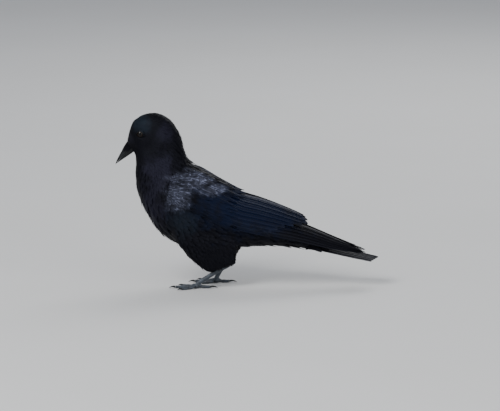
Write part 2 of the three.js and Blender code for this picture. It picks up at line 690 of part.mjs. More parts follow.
// The body, hollowed where wings, tail, bill and eyes sit in it, then cut into three.
const hollows = [sheetBed(tail), billSocket()];
for (const [name, side] of sides) {
  hollows.push(...Object.values(wings[name]).map(sheetBed));
  hollows.push(eyeHollow(side), eyeSolid(side, GAP), thighSolid(side, GAP));
}
const body = without(bodySolid(), ...hollows);
const cutNormal = [-Math.sin(CUT_TILT), 0, Math.cos(CUT_TILT)];
const backwards = cutNormal.map((x) => -x);
const heightOf = ([x, z]) => cutNormal[0] * x + cutNormal[2] * z;
const above = (made, cut) => made.trimByPlane(cutNormal, heightOf(cut) + GAP / 2);
const below = (made, cut) => made.trimByPlane(backwards, GAP / 2 - heightOf(cut));
addNode("head", above(body, HEAD_CUT), FINISH.plumage);
addNode("neck", above(below(body, HEAD_CUT), NECK_CUT), FINISH.plumage);
addNode("trunk", below(body, NECK_CUT), FINISH.plumage);
addNode("bill_upper", billSolid(UPPER_BILL), FINISH.horn);
addNode("bill_lower", billSolid(LOWER_BILL), FINISH.horn);

const primariesGrown = [];
for (const [name, side] of sides) {
  const { coverts, secondaries, primaries } = wings[name];
  const underCoverts = sheetSolid(coverts, 2 * GAP);
  primariesGrown.push(sheetSolid(primaries, GAP));
  addNode(`eye_${name}`, eyeSolid(side), FINISH.eye);
  addNode(`wing_coverts_${name}`, sheetSolid(coverts), FINISH.plumage);
  addNode(`wing_secondaries_${name}`, without(sheetSolid(secondaries), underCoverts), FINISH.flight);
  const under = without(sheetSolid(primaries), underCoverts, sheetBed(secondaries));
  addNode(`wing_primaries_${name}`, under, FINISH.flight);

  const shank = shankSolid(side, GAP);
  addNode(`thigh_${name}`, without(thighSolid(side), shank), FINISH.plumage);
  addNode(`shank_${name}`, shankSolid(side), FINISH.scales);
  for (const toe of TOES) {
    addNode(`${toe.name}_${name}`, without(toeSolid(side, toe), shank), FINISH.scales);
    addNode(`${toe.name}_claw_${name}`, clawSolid(side, toe), FINISH.horn);
  }
}
addNode("tail", without(sheetSolid(tail), ...primariesGrown), FINISH.flight);

export default crow;
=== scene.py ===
# %% [markdown]
# # A crow, as a museum would show it
#
# A crow is bare only at its bill, its eyes and its feet. All else is feathers: flecks of a few
# millimetres on the face, pointed hackles on the throat, rounded contour feathers on the body,
# and long stiff ones in the wings and the tail. A picture of feathers on a smooth body would be
# quick, but it goes flat in raking light and along every outline. So this lesson makes a skin
# first, then lays some thousands of modelled feathers over it, each along the lie of the coat.

# %% Open the measured frame
import json
import math

import bmesh
import bpy
import numpy as np
from mathutils import Matrix, Vector
from mathutils.bvhtree import BVHTree

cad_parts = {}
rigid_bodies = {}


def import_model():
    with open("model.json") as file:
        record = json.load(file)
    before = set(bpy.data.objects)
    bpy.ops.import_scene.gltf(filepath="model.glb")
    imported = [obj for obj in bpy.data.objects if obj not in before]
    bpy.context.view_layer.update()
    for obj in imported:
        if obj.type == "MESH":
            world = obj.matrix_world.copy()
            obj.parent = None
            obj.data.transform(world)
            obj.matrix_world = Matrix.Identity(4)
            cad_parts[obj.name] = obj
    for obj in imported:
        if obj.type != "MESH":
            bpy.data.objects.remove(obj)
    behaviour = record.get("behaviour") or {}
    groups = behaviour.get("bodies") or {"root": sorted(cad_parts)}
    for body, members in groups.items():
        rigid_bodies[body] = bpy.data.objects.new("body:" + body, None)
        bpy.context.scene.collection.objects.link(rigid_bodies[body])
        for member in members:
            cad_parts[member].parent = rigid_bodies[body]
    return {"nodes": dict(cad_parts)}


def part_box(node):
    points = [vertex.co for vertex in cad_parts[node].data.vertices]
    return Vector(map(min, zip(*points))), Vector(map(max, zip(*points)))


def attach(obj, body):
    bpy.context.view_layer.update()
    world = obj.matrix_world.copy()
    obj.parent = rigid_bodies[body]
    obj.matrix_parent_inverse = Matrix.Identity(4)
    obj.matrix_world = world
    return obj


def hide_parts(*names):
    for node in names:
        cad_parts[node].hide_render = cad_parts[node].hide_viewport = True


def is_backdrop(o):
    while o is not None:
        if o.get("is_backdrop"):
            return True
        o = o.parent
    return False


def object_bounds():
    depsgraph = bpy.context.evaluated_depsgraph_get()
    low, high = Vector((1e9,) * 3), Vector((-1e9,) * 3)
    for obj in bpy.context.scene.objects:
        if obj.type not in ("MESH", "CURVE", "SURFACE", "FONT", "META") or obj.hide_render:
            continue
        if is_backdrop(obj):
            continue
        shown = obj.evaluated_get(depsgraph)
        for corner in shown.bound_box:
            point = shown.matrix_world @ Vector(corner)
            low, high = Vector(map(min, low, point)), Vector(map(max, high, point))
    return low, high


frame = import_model()
cad_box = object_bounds()
MM = 0.001
SIDES = {"left": -1, "right": 1}
random = np.random.default_rng(20)
print("nodes in the frame:", len(frame["nodes"]))
print("its box in mm:", [round(length / MM) for length in cad_box[1] - cad_box[0]])

# %% [markdown]
# ## Camera, floor and light
#
# The crow is seen from its left side and from a little above, through a long lens, which keeps
# its proportions. Black feathers show their form only by what they mirror, so the lamps are
# large: wide soft panels draw long gradients on the wing, where small lamps would draw dots.

# %% Camera
VIEW_DOWN = math.radians(10)
AIM = Vector((4.8, 0, 126)) * MM
CAMERA_FAR = 5.5
VIEW_WIDE = 0.775
SENSOR = 36
SIGHT_END = 100

toward_camera = Vector((0, -math.cos(VIEW_DOWN), math.sin(VIEW_DOWN)))
bpy.ops.object.camera_add(location=AIM + toward_camera * CAMERA_FAR)
camera = bpy.context.object
camera.name = "camera"
camera.rotation_euler = (-toward_camera).to_track_quat("-Z", "Y").to_euler()
camera.data.sensor_width = SENSOR
camera.data.lens = SENSOR * CAMERA_FAR / VIEW_WIDE
camera.data.clip_end = SIGHT_END
bpy.context.scene.camera = camera
print("lens:", round(camera.data.lens), "mm")

# %% Lamps and sky
LAMPS = {
    "key": {"place": (-1.5, -2.1, 2.5), "size": 1.5, "power": 85},
    "fill": {"place": (2.0, -2.4, 1.2), "size": 2.4, "power": 30},
    "back": {"place": (0.9, 2.2, 2.2), "size": 1.8, "power": 38},
}
SKY = (0.86, 0.9, 1.0, 1)
SKY_STRENGTH = 0.45

for lamp_name, lamp in LAMPS.items():
    bpy.ops.object.light_add(type="AREA", location=lamp["place"])
    panel = bpy.context.object
    panel.name = "lamp_" + lamp_name
    panel.data.energy = lamp["power"]
    panel.data.size = lamp["size"]
    panel.rotation_euler = (AIM - panel.location).to_track_quat("-Z", "Y").to_euler()

sky = bpy.data.worlds.new("sky")
sky.use_nodes = True
sky.node_tree.nodes["Background"].inputs["Color"].default_value = SKY
sky.node_tree.nodes["Background"].inputs["Strength"].default_value = SKY_STRENGTH
bpy.context.scene.world = sky
print("lamps:", len(LAMPS))

# %% [markdown]
# ## Small helpers
#
# An operator acts on all that is selected, so each step first selects its own piece and nothing
# else. Coordinates are read into numpy arrays, where thousands of points move in one step.

# %% Selecting and modifying
SMOOTH_SHARE = 0.5


def activate(piece):
    bpy.ops.object.select_all(action="DESELECT")
    piece.select_set(True)
    bpy.context.view_layer.objects.active = piece


def modify(piece, kind, **settings):
    activate(piece)
    modifier = piece.modifiers.new(kind.lower(), kind)
    for setting, value in settings.items():
        setattr(modifier, setting, value)
    bpy.ops.object.modifier_apply(modifier=modifier.name)


def smooth(piece, rounds):
    modify(piece, "SMOOTH", factor=SMOOTH_SHARE, iterations=rounds)


def melt(piece, voxel, rounds):
    """Turns solids that touch into one closed surface, and smooths it."""
    modify(piece, "REMESH", mode="VOXEL", voxel_size=voxel)
    smooth(piece, rounds)


# %% Reading and writing meshes
NEVER_ZERO = 1e-9


def read_vectors(items, field, size=3):
    values = np.empty(len(items) * size)
    items.foreach_get(field, values)
    return values.reshape(-1, size)


def write_points(piece, points):
    piece.data.vertices.foreach_set("co", points.ravel())
    piece.data.update()


def put_in_order(piece):
    """Sorts vertices and faces by place. Some tools leave them in an order of chance."""
    mesh = piece.data
    points = read_vectors(mesh.vertices, "co")
    order = np.lexsort(points.T)
    rank = np.argsort(order).tolist()
    faces = []
    for face in mesh.polygons:
        corners = [rank[v] for v in face.vertices]
        first = corners.index(min(corners))
        faces.append(corners[first:] + corners[:first])
    mesh.clear_geometry()
    mesh.from_pydata(points[order].tolist(), [], sorted(faces))
    mesh.update()


def normalise(vectors):
    return vectors / np.maximum(np.linalg.norm(vectors, axis=-1, keepdims=True), NEVER_ZERO)


def flatten(ways, normals):
    """Ways turned to lie in the surface that has these normals."""
    return normalise(ways - (ways * normals).sum(1, keepdims=True) * normals)


def smoothstep(low, high, values):
    share = np.clip((values - low) / (high - low), 0, 1)
    return share * share * (3 - 2 * share)


# %% Copying solids of the frame
MERGE_REACH = 0.01 * MM


def merged_copy(names, label, swell):
    """One mesh of some nodes' copies, each with its doubles merged and swollen by a hair."""
    copies = []
    for name in names:
        part = bpy.data.objects.new(label, frame["nodes"][name].data.copy())
        bpy.context.scene.collection.objects.link(part)
        activate(part)
        bpy.ops.object.mode_set(mode="EDIT")
        bpy.ops.mesh.select_all(action="SELECT")
        bpy.ops.mesh.remove_doubles(threshold=MERGE_REACH)
        bpy.ops.object.mode_set(mode="OBJECT")
        if swell:
            modify(part, "DISPLACE", strength=swell, mid_level=0)
        copies.append(part)
    activate(copies[0])
    for part in copies:
        part.select_set(True)
    if len(copies) > 1:
        bpy.ops.object.join()
    whole = bpy.context.object
    whole.name = label
    whole.data.name = label
    whole.data.materials.clear()
    return whole


# %% [markdown]
# ## The lie of the coat
#
# Plumage runs from the bill to the tail like water round a stone: up over the forehead, down the
# nape, down the throat, and back along the belly. A few guides set this. Each has a place on the
# crow, the way its feathers point there, and their length, width, spacing and the depth of the
# coat over the skin. Any point of the body then takes a blend of the guides near it.

# %% Guides, in mm: place x, y, z; way x, z; length, width, spacing, depth
GUIDES = np.array([
    (-185, 5, 232, 0.10, 0.99, 4.0, 1.6, 1.3, 0.9),  # front of the forehead
    (-176, 6, 256, 0.45, 0.85, 5.0, 2.0, 1.5, 1.2),
    (-163, 6, 267, 0.85, 0.45, 6.5, 2.6, 1.8, 1.6),
    (-147, 6, 271, 1.00, -0.05, 8.0, 3.2, 2.2, 2.0),  # crown
    (-124, 8, 264, 0.75, -0.66, 11, 4.2, 2.9, 2.6),
    (-104, 8, 240, 0.34, -0.94, 15, 5.6, 3.7, 3.4),  # nape
    (-93, 12, 208, 0.52, -0.85, 21, 8.5, 5.2, 4.4),
    (-66, 12, 183, 0.86, -0.50, 27, 13, 7.4, 5.0),  # mantle
    (-10, 8, 149, 0.92, -0.39, 30, 14, 8.0, 5.0),  # rump
    (60, 6, 110, 0.93, -0.37, 34, 14, 8.0, 4.5),
    (105, 6, 82, 0.95, -0.31, 40, 13, 7.6, 3.6),  # upper tail coverts
    (-180, 13, 233, 0.90, 0.15, 3.6, 1.4, 1.1, 0.7),  # lore
    (-171, 18, 243, 0.90, 0.30, 3.2, 1.3, 1.0, 0.7),
    (-163, 20, 251, 0.95, 0.10, 3.8, 1.6, 1.2, 0.8),  # over the eye
    (-163, 21, 232, 0.95, -0.25, 3.8, 1.5, 1.2, 0.8),  # under it
    (-150, 22, 240, 0.85, -0.50, 5.5, 2.1, 1.5, 1.2),
    (-136, 23, 236, 0.70, -0.70, 8.0, 2.8, 2.0, 1.8),  # ear coverts
    (-168, 15, 217, 0.80, -0.60, 5.5, 2.0, 1.5, 1.1),  # gape
    (-150, 24, 215, 0.62, -0.78, 9.0, 3.0, 2.2, 2.0),
    (-173, 4, 204, 0.20, -0.98, 6.0, 2.2, 1.7, 1.4),  # chin
    (-173, 6, 185, 0.03, -1.0, 12, 3.6, 2.7, 2.4),
    (-172, 10, 162, 0.05, -1.0, 17, 4.8, 3.6, 3.2),  # throat hackles
    (-150, 28, 188, 0.40, -0.92, 14, 5.0, 3.6, 3.0),
    (-118, 28, 212, 0.42, -0.91, 15, 5.6, 3.8, 3.2),  # side of the neck
    (-128, 36, 175, 0.45, -0.89, 19, 8.0, 5.2, 3.6),
    (-164, 12, 134, 0.28, -0.96, 22, 11, 6.6, 4.4),  # breast
    (-150, 34, 130, 0.50, -0.86, 23, 11, 6.8, 4.2),
    (-128, 42, 140, 0.62, -0.78, 23, 11, 6.8, 3.6),
    (-143, 14, 95, 0.60, -0.80, 26, 13, 7.2, 5.0),
    (-120, 40, 102, 0.78, -0.62, 27, 13, 7.2, 4.6),
    (-112, 12, 72, 0.86, -0.50, 28, 13, 7.6, 5.2),  # belly
    (-60, 46, 95, 0.94, -0.34, 28, 13, 7.4, 4.8),  # flank
    (-55, 8, 58, 1.00, -0.02, 30, 14, 8.0, 5.4),
    (0, 36, 80, 0.97, -0.20, 30, 14, 8.0, 4.6),
    (40, 8, 60, 1.00, 0.05, 32, 13, 8.0, 4.8),  # vent
    (112, 6, 55, 0.97, -0.22, 38, 13, 7.6, 3.4),  # undertail coverts
    (-92, 30, 72, 0.70, -0.72, 22, 9.0, 5.6, 4.0),  # thigh
    (-60, 38, 66, 0.66, -0.75, 20, 8.0, 5.0, 3.6),
    (-76, 24, 46, 0.62, -0.78, 16, 6.0, 4.0, 3.0),
    (-30, 28, 54, 0.62, -0.78, 18, 6.5, 4.4, 3.2),
    (-45, 24, 38, 0.50, -0.86, 13, 4.6, 3.1, 2.2),
    (-28, 26, 38, 0.50, -0.86, 13, 4.6, 3.1, 2.2),
])
GUIDE_BLUR = 9 * MM
GUIDE_SHARPNESS = 3


def coat_at(points):
    """Way, length, width, spacing and depth of the coat at some points, in metres."""
    even = points * (1, 0, 1) + np.abs(points) * (0, 1, 0)
    apart = ((even[:, None] - GUIDES[None, :, :3] * MM) ** 2).sum(2)
    weights = (apart + GUIDE_BLUR**2) ** -GUIDE_SHARPNESS
    blend = weights @ GUIDES[:, 3:] / weights.sum(1)[:, None]
    way = np.stack([blend[:, 0], np.zeros(len(blend)), blend[:, 1]], 1)
    length, width, spacing, depth = blend[:, 2:].T * MM
    return way, length, width, spacing, depth


print("guides:", len(GUIDES))

# %% [markdown]
# ## The skin
#
# Under the feathers a crow is much slimmer than it looks. One skin takes the place of head, neck,
# trunk, thighs and wing arms. The frame's solids are copied, swollen until they touch, and a
# voxel remesh melts them into one closed surface with no seam at the joins. Each point then sinks
# along its normal by the depth of the coat there, so the feather tips end at the true outline.

# %% Body of the skin
FLESH = ["head", "neck", "trunk", "thigh_left", "thigh_right"]
ARMS = ["wing_coverts_left", "wing_coverts_right"]
BODY_SWELL = 0.8 * MM
BODY_VOXEL = 2.0 * MM
BODY_SMOOTHING = 22
SUNK_SMOOTHING = 4

skin = merged_copy(FLESH + ARMS, "skin", BODY_SWELL)
melt(skin, BODY_VOXEL, BODY_SMOOTHING)
body_points = read_vectors(skin.data.vertices, "co")
body_normals = read_vectors(skin.data.vertices, "normal")
body_depth = coat_at(body_points)[4]
write_points(skin, body_points - body_normals * (body_depth[:, None] + BODY_SWELL))
smooth(skin, SUNK_SMOOTHING)
print("skin of the body:", len(skin.data.polygons), "faces")

# %% [markdown]
# ## Eyes and their lids
#
# A bird's eyeball is large, and the lids show only its middle. Each eye is a whole ball, placed
# where the frame has it, with a cornea that bulges at the front. The socket is cut out of the
# skin with a boolean, and the rim of the lids is a ring, drawn out to an oval towards the front
# and the back of the eye, as a crow's lids are.

# %% Eyes
EYE_GAZE = {side: Vector((-0.20, sign, -0.03)).normalized() for side, sign in SIDES.items()}
CORNEA_WIDE = math.radians(34)
CORNEA_BULGE = 0.3 * MM
EYE_ROOM = 0.25 * MM
EYE_SEGMENTS, EYE_RINGS = 48, 32
RING_DIGITS = 7
RING_REACH = 1e-6


def node_centre(name):
    low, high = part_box(name)
    return (Vector(low) + Vector(high)) / 2


def node_size(name):
    low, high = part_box(name)
    return Vector(high) - Vector(low)


def add_ball(name, segments, rings, radius, centre=(0, 0, 0)):
    bpy.ops.object.select_all(action="DESELECT")
    bpy.ops.mesh.primitive_uv_sphere_add(
        segments=segments, ring_count=rings, radius=radius, location=centre
    )
    ball = bpy.context.object
    ball.name = name
    return ball


def angle_at(height, radius):
    """The angle on a ball from its top down to a height."""
    return math.acos(max(-1, min(1, height / radius)))


def ring_heights(ball):
    """Heights of a ball's rings of vertices, from the top down."""
    shape = bmesh.from_edit_mesh(ball.data)
    return sorted({round(v.co.z, RING_DIGITS) for v in shape.verts}, reverse=True)


def pick_vertices(piece, test):
    """Selects, in edit mode, the vertices that pass a test."""
    shape = bmesh.from_edit_mesh(piece.data)
    for vertex in shape.verts:
        vertex.select_set(test(vertex))
    bmesh.update_edit_mesh(piece.data)


def pick_ring(ball, height):
    pick_vertices(ball, lambda vertex: abs(vertex.co.z - height) < RING_REACH)


def set_in_head(piece, turn, side):
    """Turns a piece that was modelled at the origin, and moves it to the middle of an eye."""
    placing = turn.to_4x4()
    placing.translation = node_centre("eye_" + side)
    piece.data.transform(placing)
    bpy.ops.object.shade_smooth()


def model_eye(side):
    radius = node_size("eye_" + side).z / 2
    eye = add_ball("eyeball_" + side, EYE_SEGMENTS, EYE_RINGS, radius)
    bpy.ops.object.mode_set(mode="EDIT")
    for height in ring_heights(eye):
        angle = angle_at(height, radius)
        if angle >= CORNEA_WIDE:
            break
        pick_ring(eye, height)
        rise = CORNEA_BULGE * math.cos(angle / CORNEA_WIDE * math.pi / 2) ** 2
        bpy.ops.transform.translate(value=(0, 0, rise))
    bpy.ops.object.mode_set(mode="OBJECT")
    put_in_order(eye)
    iris = eye.data.uv_layers.new(name="Iris")
    corners = read_vectors(eye.data.loops, "vertex_index", 1).astype(int).ravel()
    around = read_vectors(eye.data.vertices, "co")[corners]
    front = around[:, 2] > 0
    spread_out = np.where(front[:, None], around[:, :2] / (2 * radius), 0.5)
    iris.data.foreach_set("uv", (0.5 + spread_out).ravel())
    set_in_head(eye, EYE_GAZE[side].to_track_quat("Z", "Y").to_matrix(), side)
    return eye


eyes = {side: model_eye(side) for side in SIDES}
EYE_RADIUS = node_size("eye_left").z / 2
print("eyeball:", round(2 * EYE_RADIUS / MM, 1), "mm across")

# %% Sockets and lids
LID_THICK = 0.5 * MM
LID_OPEN = math.radians(36)
LID_HIDDEN = math.radians(84)
LID_LONG = 1.13
LID_HIGH = 0.90
LID_ROLL = 0.3 * MM
LID_ROLL_IN = 0.95
LID_RINGS_PULLED = 5
LID_SEGMENTS, LID_RINGS = 48, 44
SOCKET_SEGMENTS, SOCKET_RINGS = 32, 20


def cut_socket(side):
    ball = add_ball(
        "socket", SOCKET_SEGMENTS, SOCKET_RINGS, EYE_RADIUS + EYE_ROOM, node_centre("eye_" + side)
    )
    modify(skin, "BOOLEAN", operation="DIFFERENCE", solver="MANIFOLD", object=ball)
    skin.data.materials.clear()
    put_in_order(skin)
    bpy.data.objects.remove(ball)


def model_lids(side):
    """A band of a sphere round the ball, opened to an oval and rolled in at its rim."""
    radius = EYE_RADIUS + EYE_ROOM + LID_THICK
    lids = add_ball("lids_" + side, LID_SEGMENTS, LID_RINGS, radius)
    bpy.ops.object.mode_set(mode="EDIT")
    pick_vertices(lids, lambda v: not LID_OPEN < angle_at(v.co.z, radius) < LID_HIDDEN)
    bpy.ops.mesh.delete(type="VERT")
    rings = ring_heights(lids)
    for number, height in enumerate(rings[:LID_RINGS_PULLED]):
        share = 1 - number / LID_RINGS_PULLED
        pick_ring(lids, height)
        stretch = (1 + (LID_LONG - 1) * share, 1 + (LID_HIGH - 1) * share, 1)
        bpy.ops.transform.resize(value=stretch, center_override=(0, 0, 0))
    bpy.ops.mesh.select_all(action="DESELECT")
    bpy.ops.mesh.select_mode(type="EDGE")
    for edge in bmesh.from_edit_mesh(lids.data).edges:
        edge.select_set(edge.is_boundary and edge.verts[0].co.z > rings[1])
    bmesh.update_edit_mesh(lids.data)
    bpy.ops.mesh.extrude_edges_move(TRANSFORM_OT_translate={"value": (0, 0, -LID_ROLL)})
    bpy.ops.transform.resize(value=(LID_ROLL_IN, LID_ROLL_IN, 1), center_override=(0, 0, 0))
    bpy.ops.mesh.select_mode(type="VERT")
    bpy.ops.object.mode_set(mode="OBJECT")
    put_in_order(lids)
    modify(lids, "SOLIDIFY", thickness=LID_THICK, offset=-1)
    modify(lids, "SUBSURF", levels=1, render_levels=1)
    gaze, ahead = EYE_GAZE[side], Vector((-1, 0, 0))
    across = (ahead - gaze * gaze.dot(ahead)).normalized()
    set_in_head(lids, Matrix((across, gaze.cross(across), gaze)).transposed(), side)
    return lids


for side in SIDES:
    cut_socket(side)
lids = [model_lids(side) for side in SIDES]

# %% [markdown]
# ## Legs and feet
#
# A crow's shank and toes are bare: horny scutes overlap like tiles down the front of the shank
# and along the top of each toe, and the soles are soft lobes. The frame's shanks and toes are
# melted into one finer skin, and each point is raised by a saw-tooth that climbs along a scute
# and drops at its edge, so the steps are there in the outline and not only in the shading.

# %% Shanks and toes
TOES = ["hind", "inner", "middle", "outer"]
LEG_NODES = [f"shank_{side}" for side in SIDES]
LEG_NODES += [f"{toe}_toe_{side}" for side in SIDES for toe in TOES]
LEG_SWELL = 0.3 * MM
LEG_VOXEL = 0.62 * MM
FOOT = {"left": (-77.5, -24, 7.2), "right": (-48, 22, 7.2)}
ANKLE = {"left": (-29, -27, 38), "right": (-20.5, 23, 56)}
LEG_SMOOTHING = 5
SHANK_FROM = (4 * MM, 9 * MM)
TOE_FROM = (4 * MM, 7 * MM)
SHANK_SCUTE = 3.3 * MM
TOE_SCUTE = 2.5 * MM
SCUTE_RISE = 0.42 * MM
SCUTE_CREST = 0.82
SCUTE_GAP = 0.16
SOLE_LOBE = 5.2 * MM
SOLE_GROOVE = 0.4 * MM
FACES_FRONT = (-0.1, 0.5)  # how much a normal points there where scutes begin and are full
FACES_UP = (0.0, 0.5)
FACES_DOWN = (0.2, 0.7)


def saw_tooth(places, period):
    share = (places / period) % 1
    return share * (1 - smoothstep(SCUTE_CREST, 1, share))


def gap_between(places, period):
    """One in the narrow gap between two scutes, nought on the scutes."""
    share = (places / period) % 1
    return smoothstep(1 - SCUTE_GAP, 1, share) + 1 - smoothstep(0, SCUTE_GAP, share)


def write_shares(mesh, name, shares):
    layer = mesh.attributes.new(name, "FLOAT", "POINT")
    layer.data.foreach_set("value", np.clip(shares, 0, 1).astype(np.float32))


def raise_scutes(legs):
    points = read_vectors(legs.data.vertices, "co")
    normals = read_vectors(legs.data.vertices, "normal")
    rise, plated, gaps = (np.zeros(len(points)) for _ in range(3))
    for side, sign in SIDES.items():
        foot, ankle = np.array(FOOT[side]) * MM, np.array(ANKLE[side]) * MM
        own = points[:, 1] * sign > 0
        axis = normalise(ankle - foot)
        up_shank = (points - foot) @ axis
        front = normalise(np.array([-1.0, 0, 0]) + axis * axis[0])
        shank = smoothstep(*SHANK_FROM, up_shank)
        fore = smoothstep(*FACES_FRONT, normals @ front)
        tiles = saw_tooth(-up_shank, SHANK_SCUTE) * fore
        out_toe = np.linalg.norm((points - foot)[:, :2], axis=1)
        upper = smoothstep(*FACES_UP, normals[:, 2])
        top = saw_tooth(out_toe, TOE_SCUTE) * upper
        lobes = np.cos(2 * np.pi * out_toe / SOLE_LOBE) * smoothstep(*FACES_DOWN, -normals[:, 2])
        toe = (1 - shank) * smoothstep(*TOE_FROM, out_toe)
        raised = SCUTE_RISE * (shank * tiles + toe * top)
        rise += own * (raised - toe * SOLE_GROOVE * (0.5 - 0.5 * lobes))
        plated += own * (shank * fore + toe * upper)
        gaps += own * shank * fore * gap_between(-up_shank, SHANK_SCUTE)
        gaps += own * toe * upper * gap_between(out_toe, TOE_SCUTE)
    points += normals * rise[:, None]
    points[:, 2] = np.maximum(points[:, 2], 0)
    write_points(legs, points)
    write_shares(legs.data, "Plated", plated)
    write_shares(legs.data, "Scute_Gap", gaps)


legs = merged_copy(LEG_NODES, "legs", LEG_SWELL)
melt(legs, LEG_VOXEL, LEG_SMOOTHING)
raise_scutes(legs)
print("legs:", len(legs.data.polygons), "faces")

# %% Join the skin and unwrap it
BAKE_MAP = "OFBake"
UNWRAP_BEND = math.radians(66)
ISLAND_MARGIN = 0.002
plumage_skin = bpy.data.materials.new("plumage_skin")
leg_scales = bpy.data.materials.new("leg_scales")
skin.data.materials.append(plumage_skin)
for rim in lids:
    rim.data.materials.append(plumage_skin)
legs.data.materials.append(leg_scales)

activate(skin)
for part in [legs] + lids:
    part.select_set(True)
bpy.ops.object.join()
for layer in list(skin.data.uv_layers):
    skin.data.uv_layers.remove(layer)
skin.data.uv_layers.new(name=BAKE_MAP)
activate(skin)
bpy.ops.object.mode_set(mode="EDIT")
bpy.ops.mesh.select_all(action="SELECT")
bpy.ops.uv.smart_project(angle_limit=UNWRAP_BEND, island_margin=ISLAND_MARGIN)
bpy.ops.object.mode_set(mode="OBJECT")
bpy.ops.object.shade_smooth()
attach(skin, "root")
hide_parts(*FLESH, *ARMS, *LEG_NODES)
print("whole skin:", len(skin.data.polygons), "faces")

# %% [markdown]
# ## Bill and claws
#
# The bill is horn: a strong arched upper half that closes over the lower one, with a sharp
# culmen. The frame's solids already have the right form, in flat facets. A fine voxel remesh of
# a copy and a few rounds of smoothing turn the facets into one sweep and keep the ridge.

# %% Horn pieces
HORN_VOXEL = 0.34 * MM
CLAW_VOXEL = 0.24 * MM
BILL_SMOOTHING = 9
CLAW_SMOOTHING = 4
horn = bpy.data.materials.new("horn")


def horn_piece(node, name, voxel, smoothing):
    piece = merged_copy([node], name, 0)
    melt(piece, voxel, smoothing)
    piece.data.materials.append(horn)
    activate(piece)
    bpy.ops.object.shade_smooth()
    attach(piece, "root")
    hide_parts(node)
    print(name, "has", len(piece.data.polygons), "faces")


for half in ("upper", "lower"):
    horn_piece("bill_" + half, half + "_bill", HORN_VOXEL, BILL_SMOOTHING)
for side in SIDES:
    for toe in TOES:
        horn_piece(f"{toe}_toe_claw_{side}", f"claw_{toe}_{side}", CLAW_VOXEL, CLAW_SMOOTHING)

# %% [markdown]
# ## One feather of each kind
#
# A feather is a vane on a shaft. Far from the eye only its rounded tip shows, so the small ones
# are a few faces each. Every kind is modelled once: a grid is added, its columns and rows are
# moved to their places, each row is drawn in to the outline, the corners of the tip are drawn
# back into an arc, the shaft is raised, and a Solidify gives the vane its thickness.

# %% Modelling a vane
GRID_DIGITS = 4
TIP_CURVE = 1.5


def model_vane(name, columns, rows, outline, arc_from, arc, thickness, shaft=0.0, ridge=0.0):
    """Columns run across from -1 to 1, rows along from 0 to 1. Returns the finished mesh's data."""
    bpy.ops.object.select_all(action="DESELECT")
    bpy.ops.mesh.primitive_grid_add(
        x_subdivisions=len(columns) - 1, y_subdivisions=len(rows) - 1, size=2
    )
    vane = bpy.context.object
    bpy.ops.object.mode_set(mode="EDIT")
    shape = bmesh.from_edit_mesh(vane.data)
    places = [(round(v.co.x, GRID_DIGITS), round(v.co.y, GRID_DIGITS)) for v in shape.verts]
    lines_x, lines_y = (sorted(set(axis)) for axis in zip(*places))
    column_of = [lines_x.index(x) for x, _ in places]
    row_of = [lines_y.index(y) for _, y in places]

    def pick(column=None, row=None):
        mesh = bmesh.from_edit_mesh(vane.data)
        for i, vertex in enumerate(mesh.verts):
            vertex.select_set(column in (None, column_of[i]) and row in (None, row_of[i]))
        bmesh.update_edit_mesh(vane.data)

    for c, place in enumerate(columns):
        pick(column=c)
        bpy.ops.transform.translate(value=(place - lines_x[c], 0, ridge if place == shaft else 0))
    for r, place in enumerate(rows):
        pick(row=r)
        bpy.ops.transform.translate(value=(0, place - lines_y[r], 0))
        bpy.ops.transform.resize(value=(outline(place), 1, 1), center_override=(shaft, 0, 0))
        near_tip = max(0, (place - arc_from) / (1 - arc_from))
        if near_tip == 0:
            continue
        for c, aside in enumerate(columns):
            pick(column=c, row=r)
            back = arc * near_tip**TIP_CURVE * ((aside - shaft) / (1 + abs(shaft))) ** 2
            bpy.ops.transform.translate(value=(0, -back, 0))
    bpy.ops.object.mode_set(mode="OBJECT")
    modify(vane, "SOLIDIFY", thickness=thickness, offset=-1)
    corners = read_vectors(vane.data.loops, "vertex_index", 1).astype(int)
    made = {
        "name": name,
        "points": read_vectors(vane.data.vertices, "co"),
        "faces": corners.reshape(-1, 4),
        "uv": read_vectors(vane.data.uv_layers.active.data, "uv", 2),
    }
    bpy.data.objects.remove(vane)
    print(name, "has", len(made["faces"]), "faces")
    return made


def even(count, low=0.0, high=1.0):
    return [low + (high - low) * i / count for i in range(count + 1)]


# %% Outlines, as a half width at each place from root to tip
ROUND_CORE, ROUND_SWELL = 0.55, 0.45
ROUND_START, ROUND_SPAN = 0.12, 0.85
POINT_LEAST, POINT_WIDTH, POINT_TAPER = 0.08, 1.05, 0.7
POINT_ROOT, POINT_BELLY = 0.7, 0.9
LONG_ROOT, LONG_WIDENS = 0.35, 2.2
LONG_TIP_FROM, LONG_TIP_LENGTH, LONG_TIP_LOSS = 0.8, 0.2, 0.25


def rounded_vane(place):
    phase = min(1, place * ROUND_SPAN + ROUND_START)
    return ROUND_CORE + ROUND_SWELL * math.sin(math.pi * phase)


def pointed_vane(place):
    taper = POINT_WIDTH * (1 - place) ** POINT_TAPER
    return max(POINT_LEAST, taper * (POINT_ROOT + POINT_BELLY * place))


def long_vane(place):
    loss = LONG_TIP_LOSS * max(0, place - LONG_TIP_FROM) / LONG_TIP_LENGTH
    return min(1, LONG_ROOT + LONG_WIDENS * place) * (1 - loss)


# %% The kinds of feather
LONG_ROWS = even(14, 0, 0.84) + [0.885, 0.92, 0.95, 0.975, 1.0]
OUTER_SHAFT = 0.42
FLIGHT_COLUMNS = [-1, -0.78, -0.5, -0.22, 0.08, 0.36, OUTER_SHAFT, 0.48, 0.66, 0.84, 1]
COVERT_COLUMNS = [-1, -0.72, -0.38, -0.06, 0.0, 0.06, 0.38, 0.72, 1]
COVERT_ROWS_ALONG = even(5, 0, 0.6) + [0.7, 0.8, 0.88, 0.95, 1]

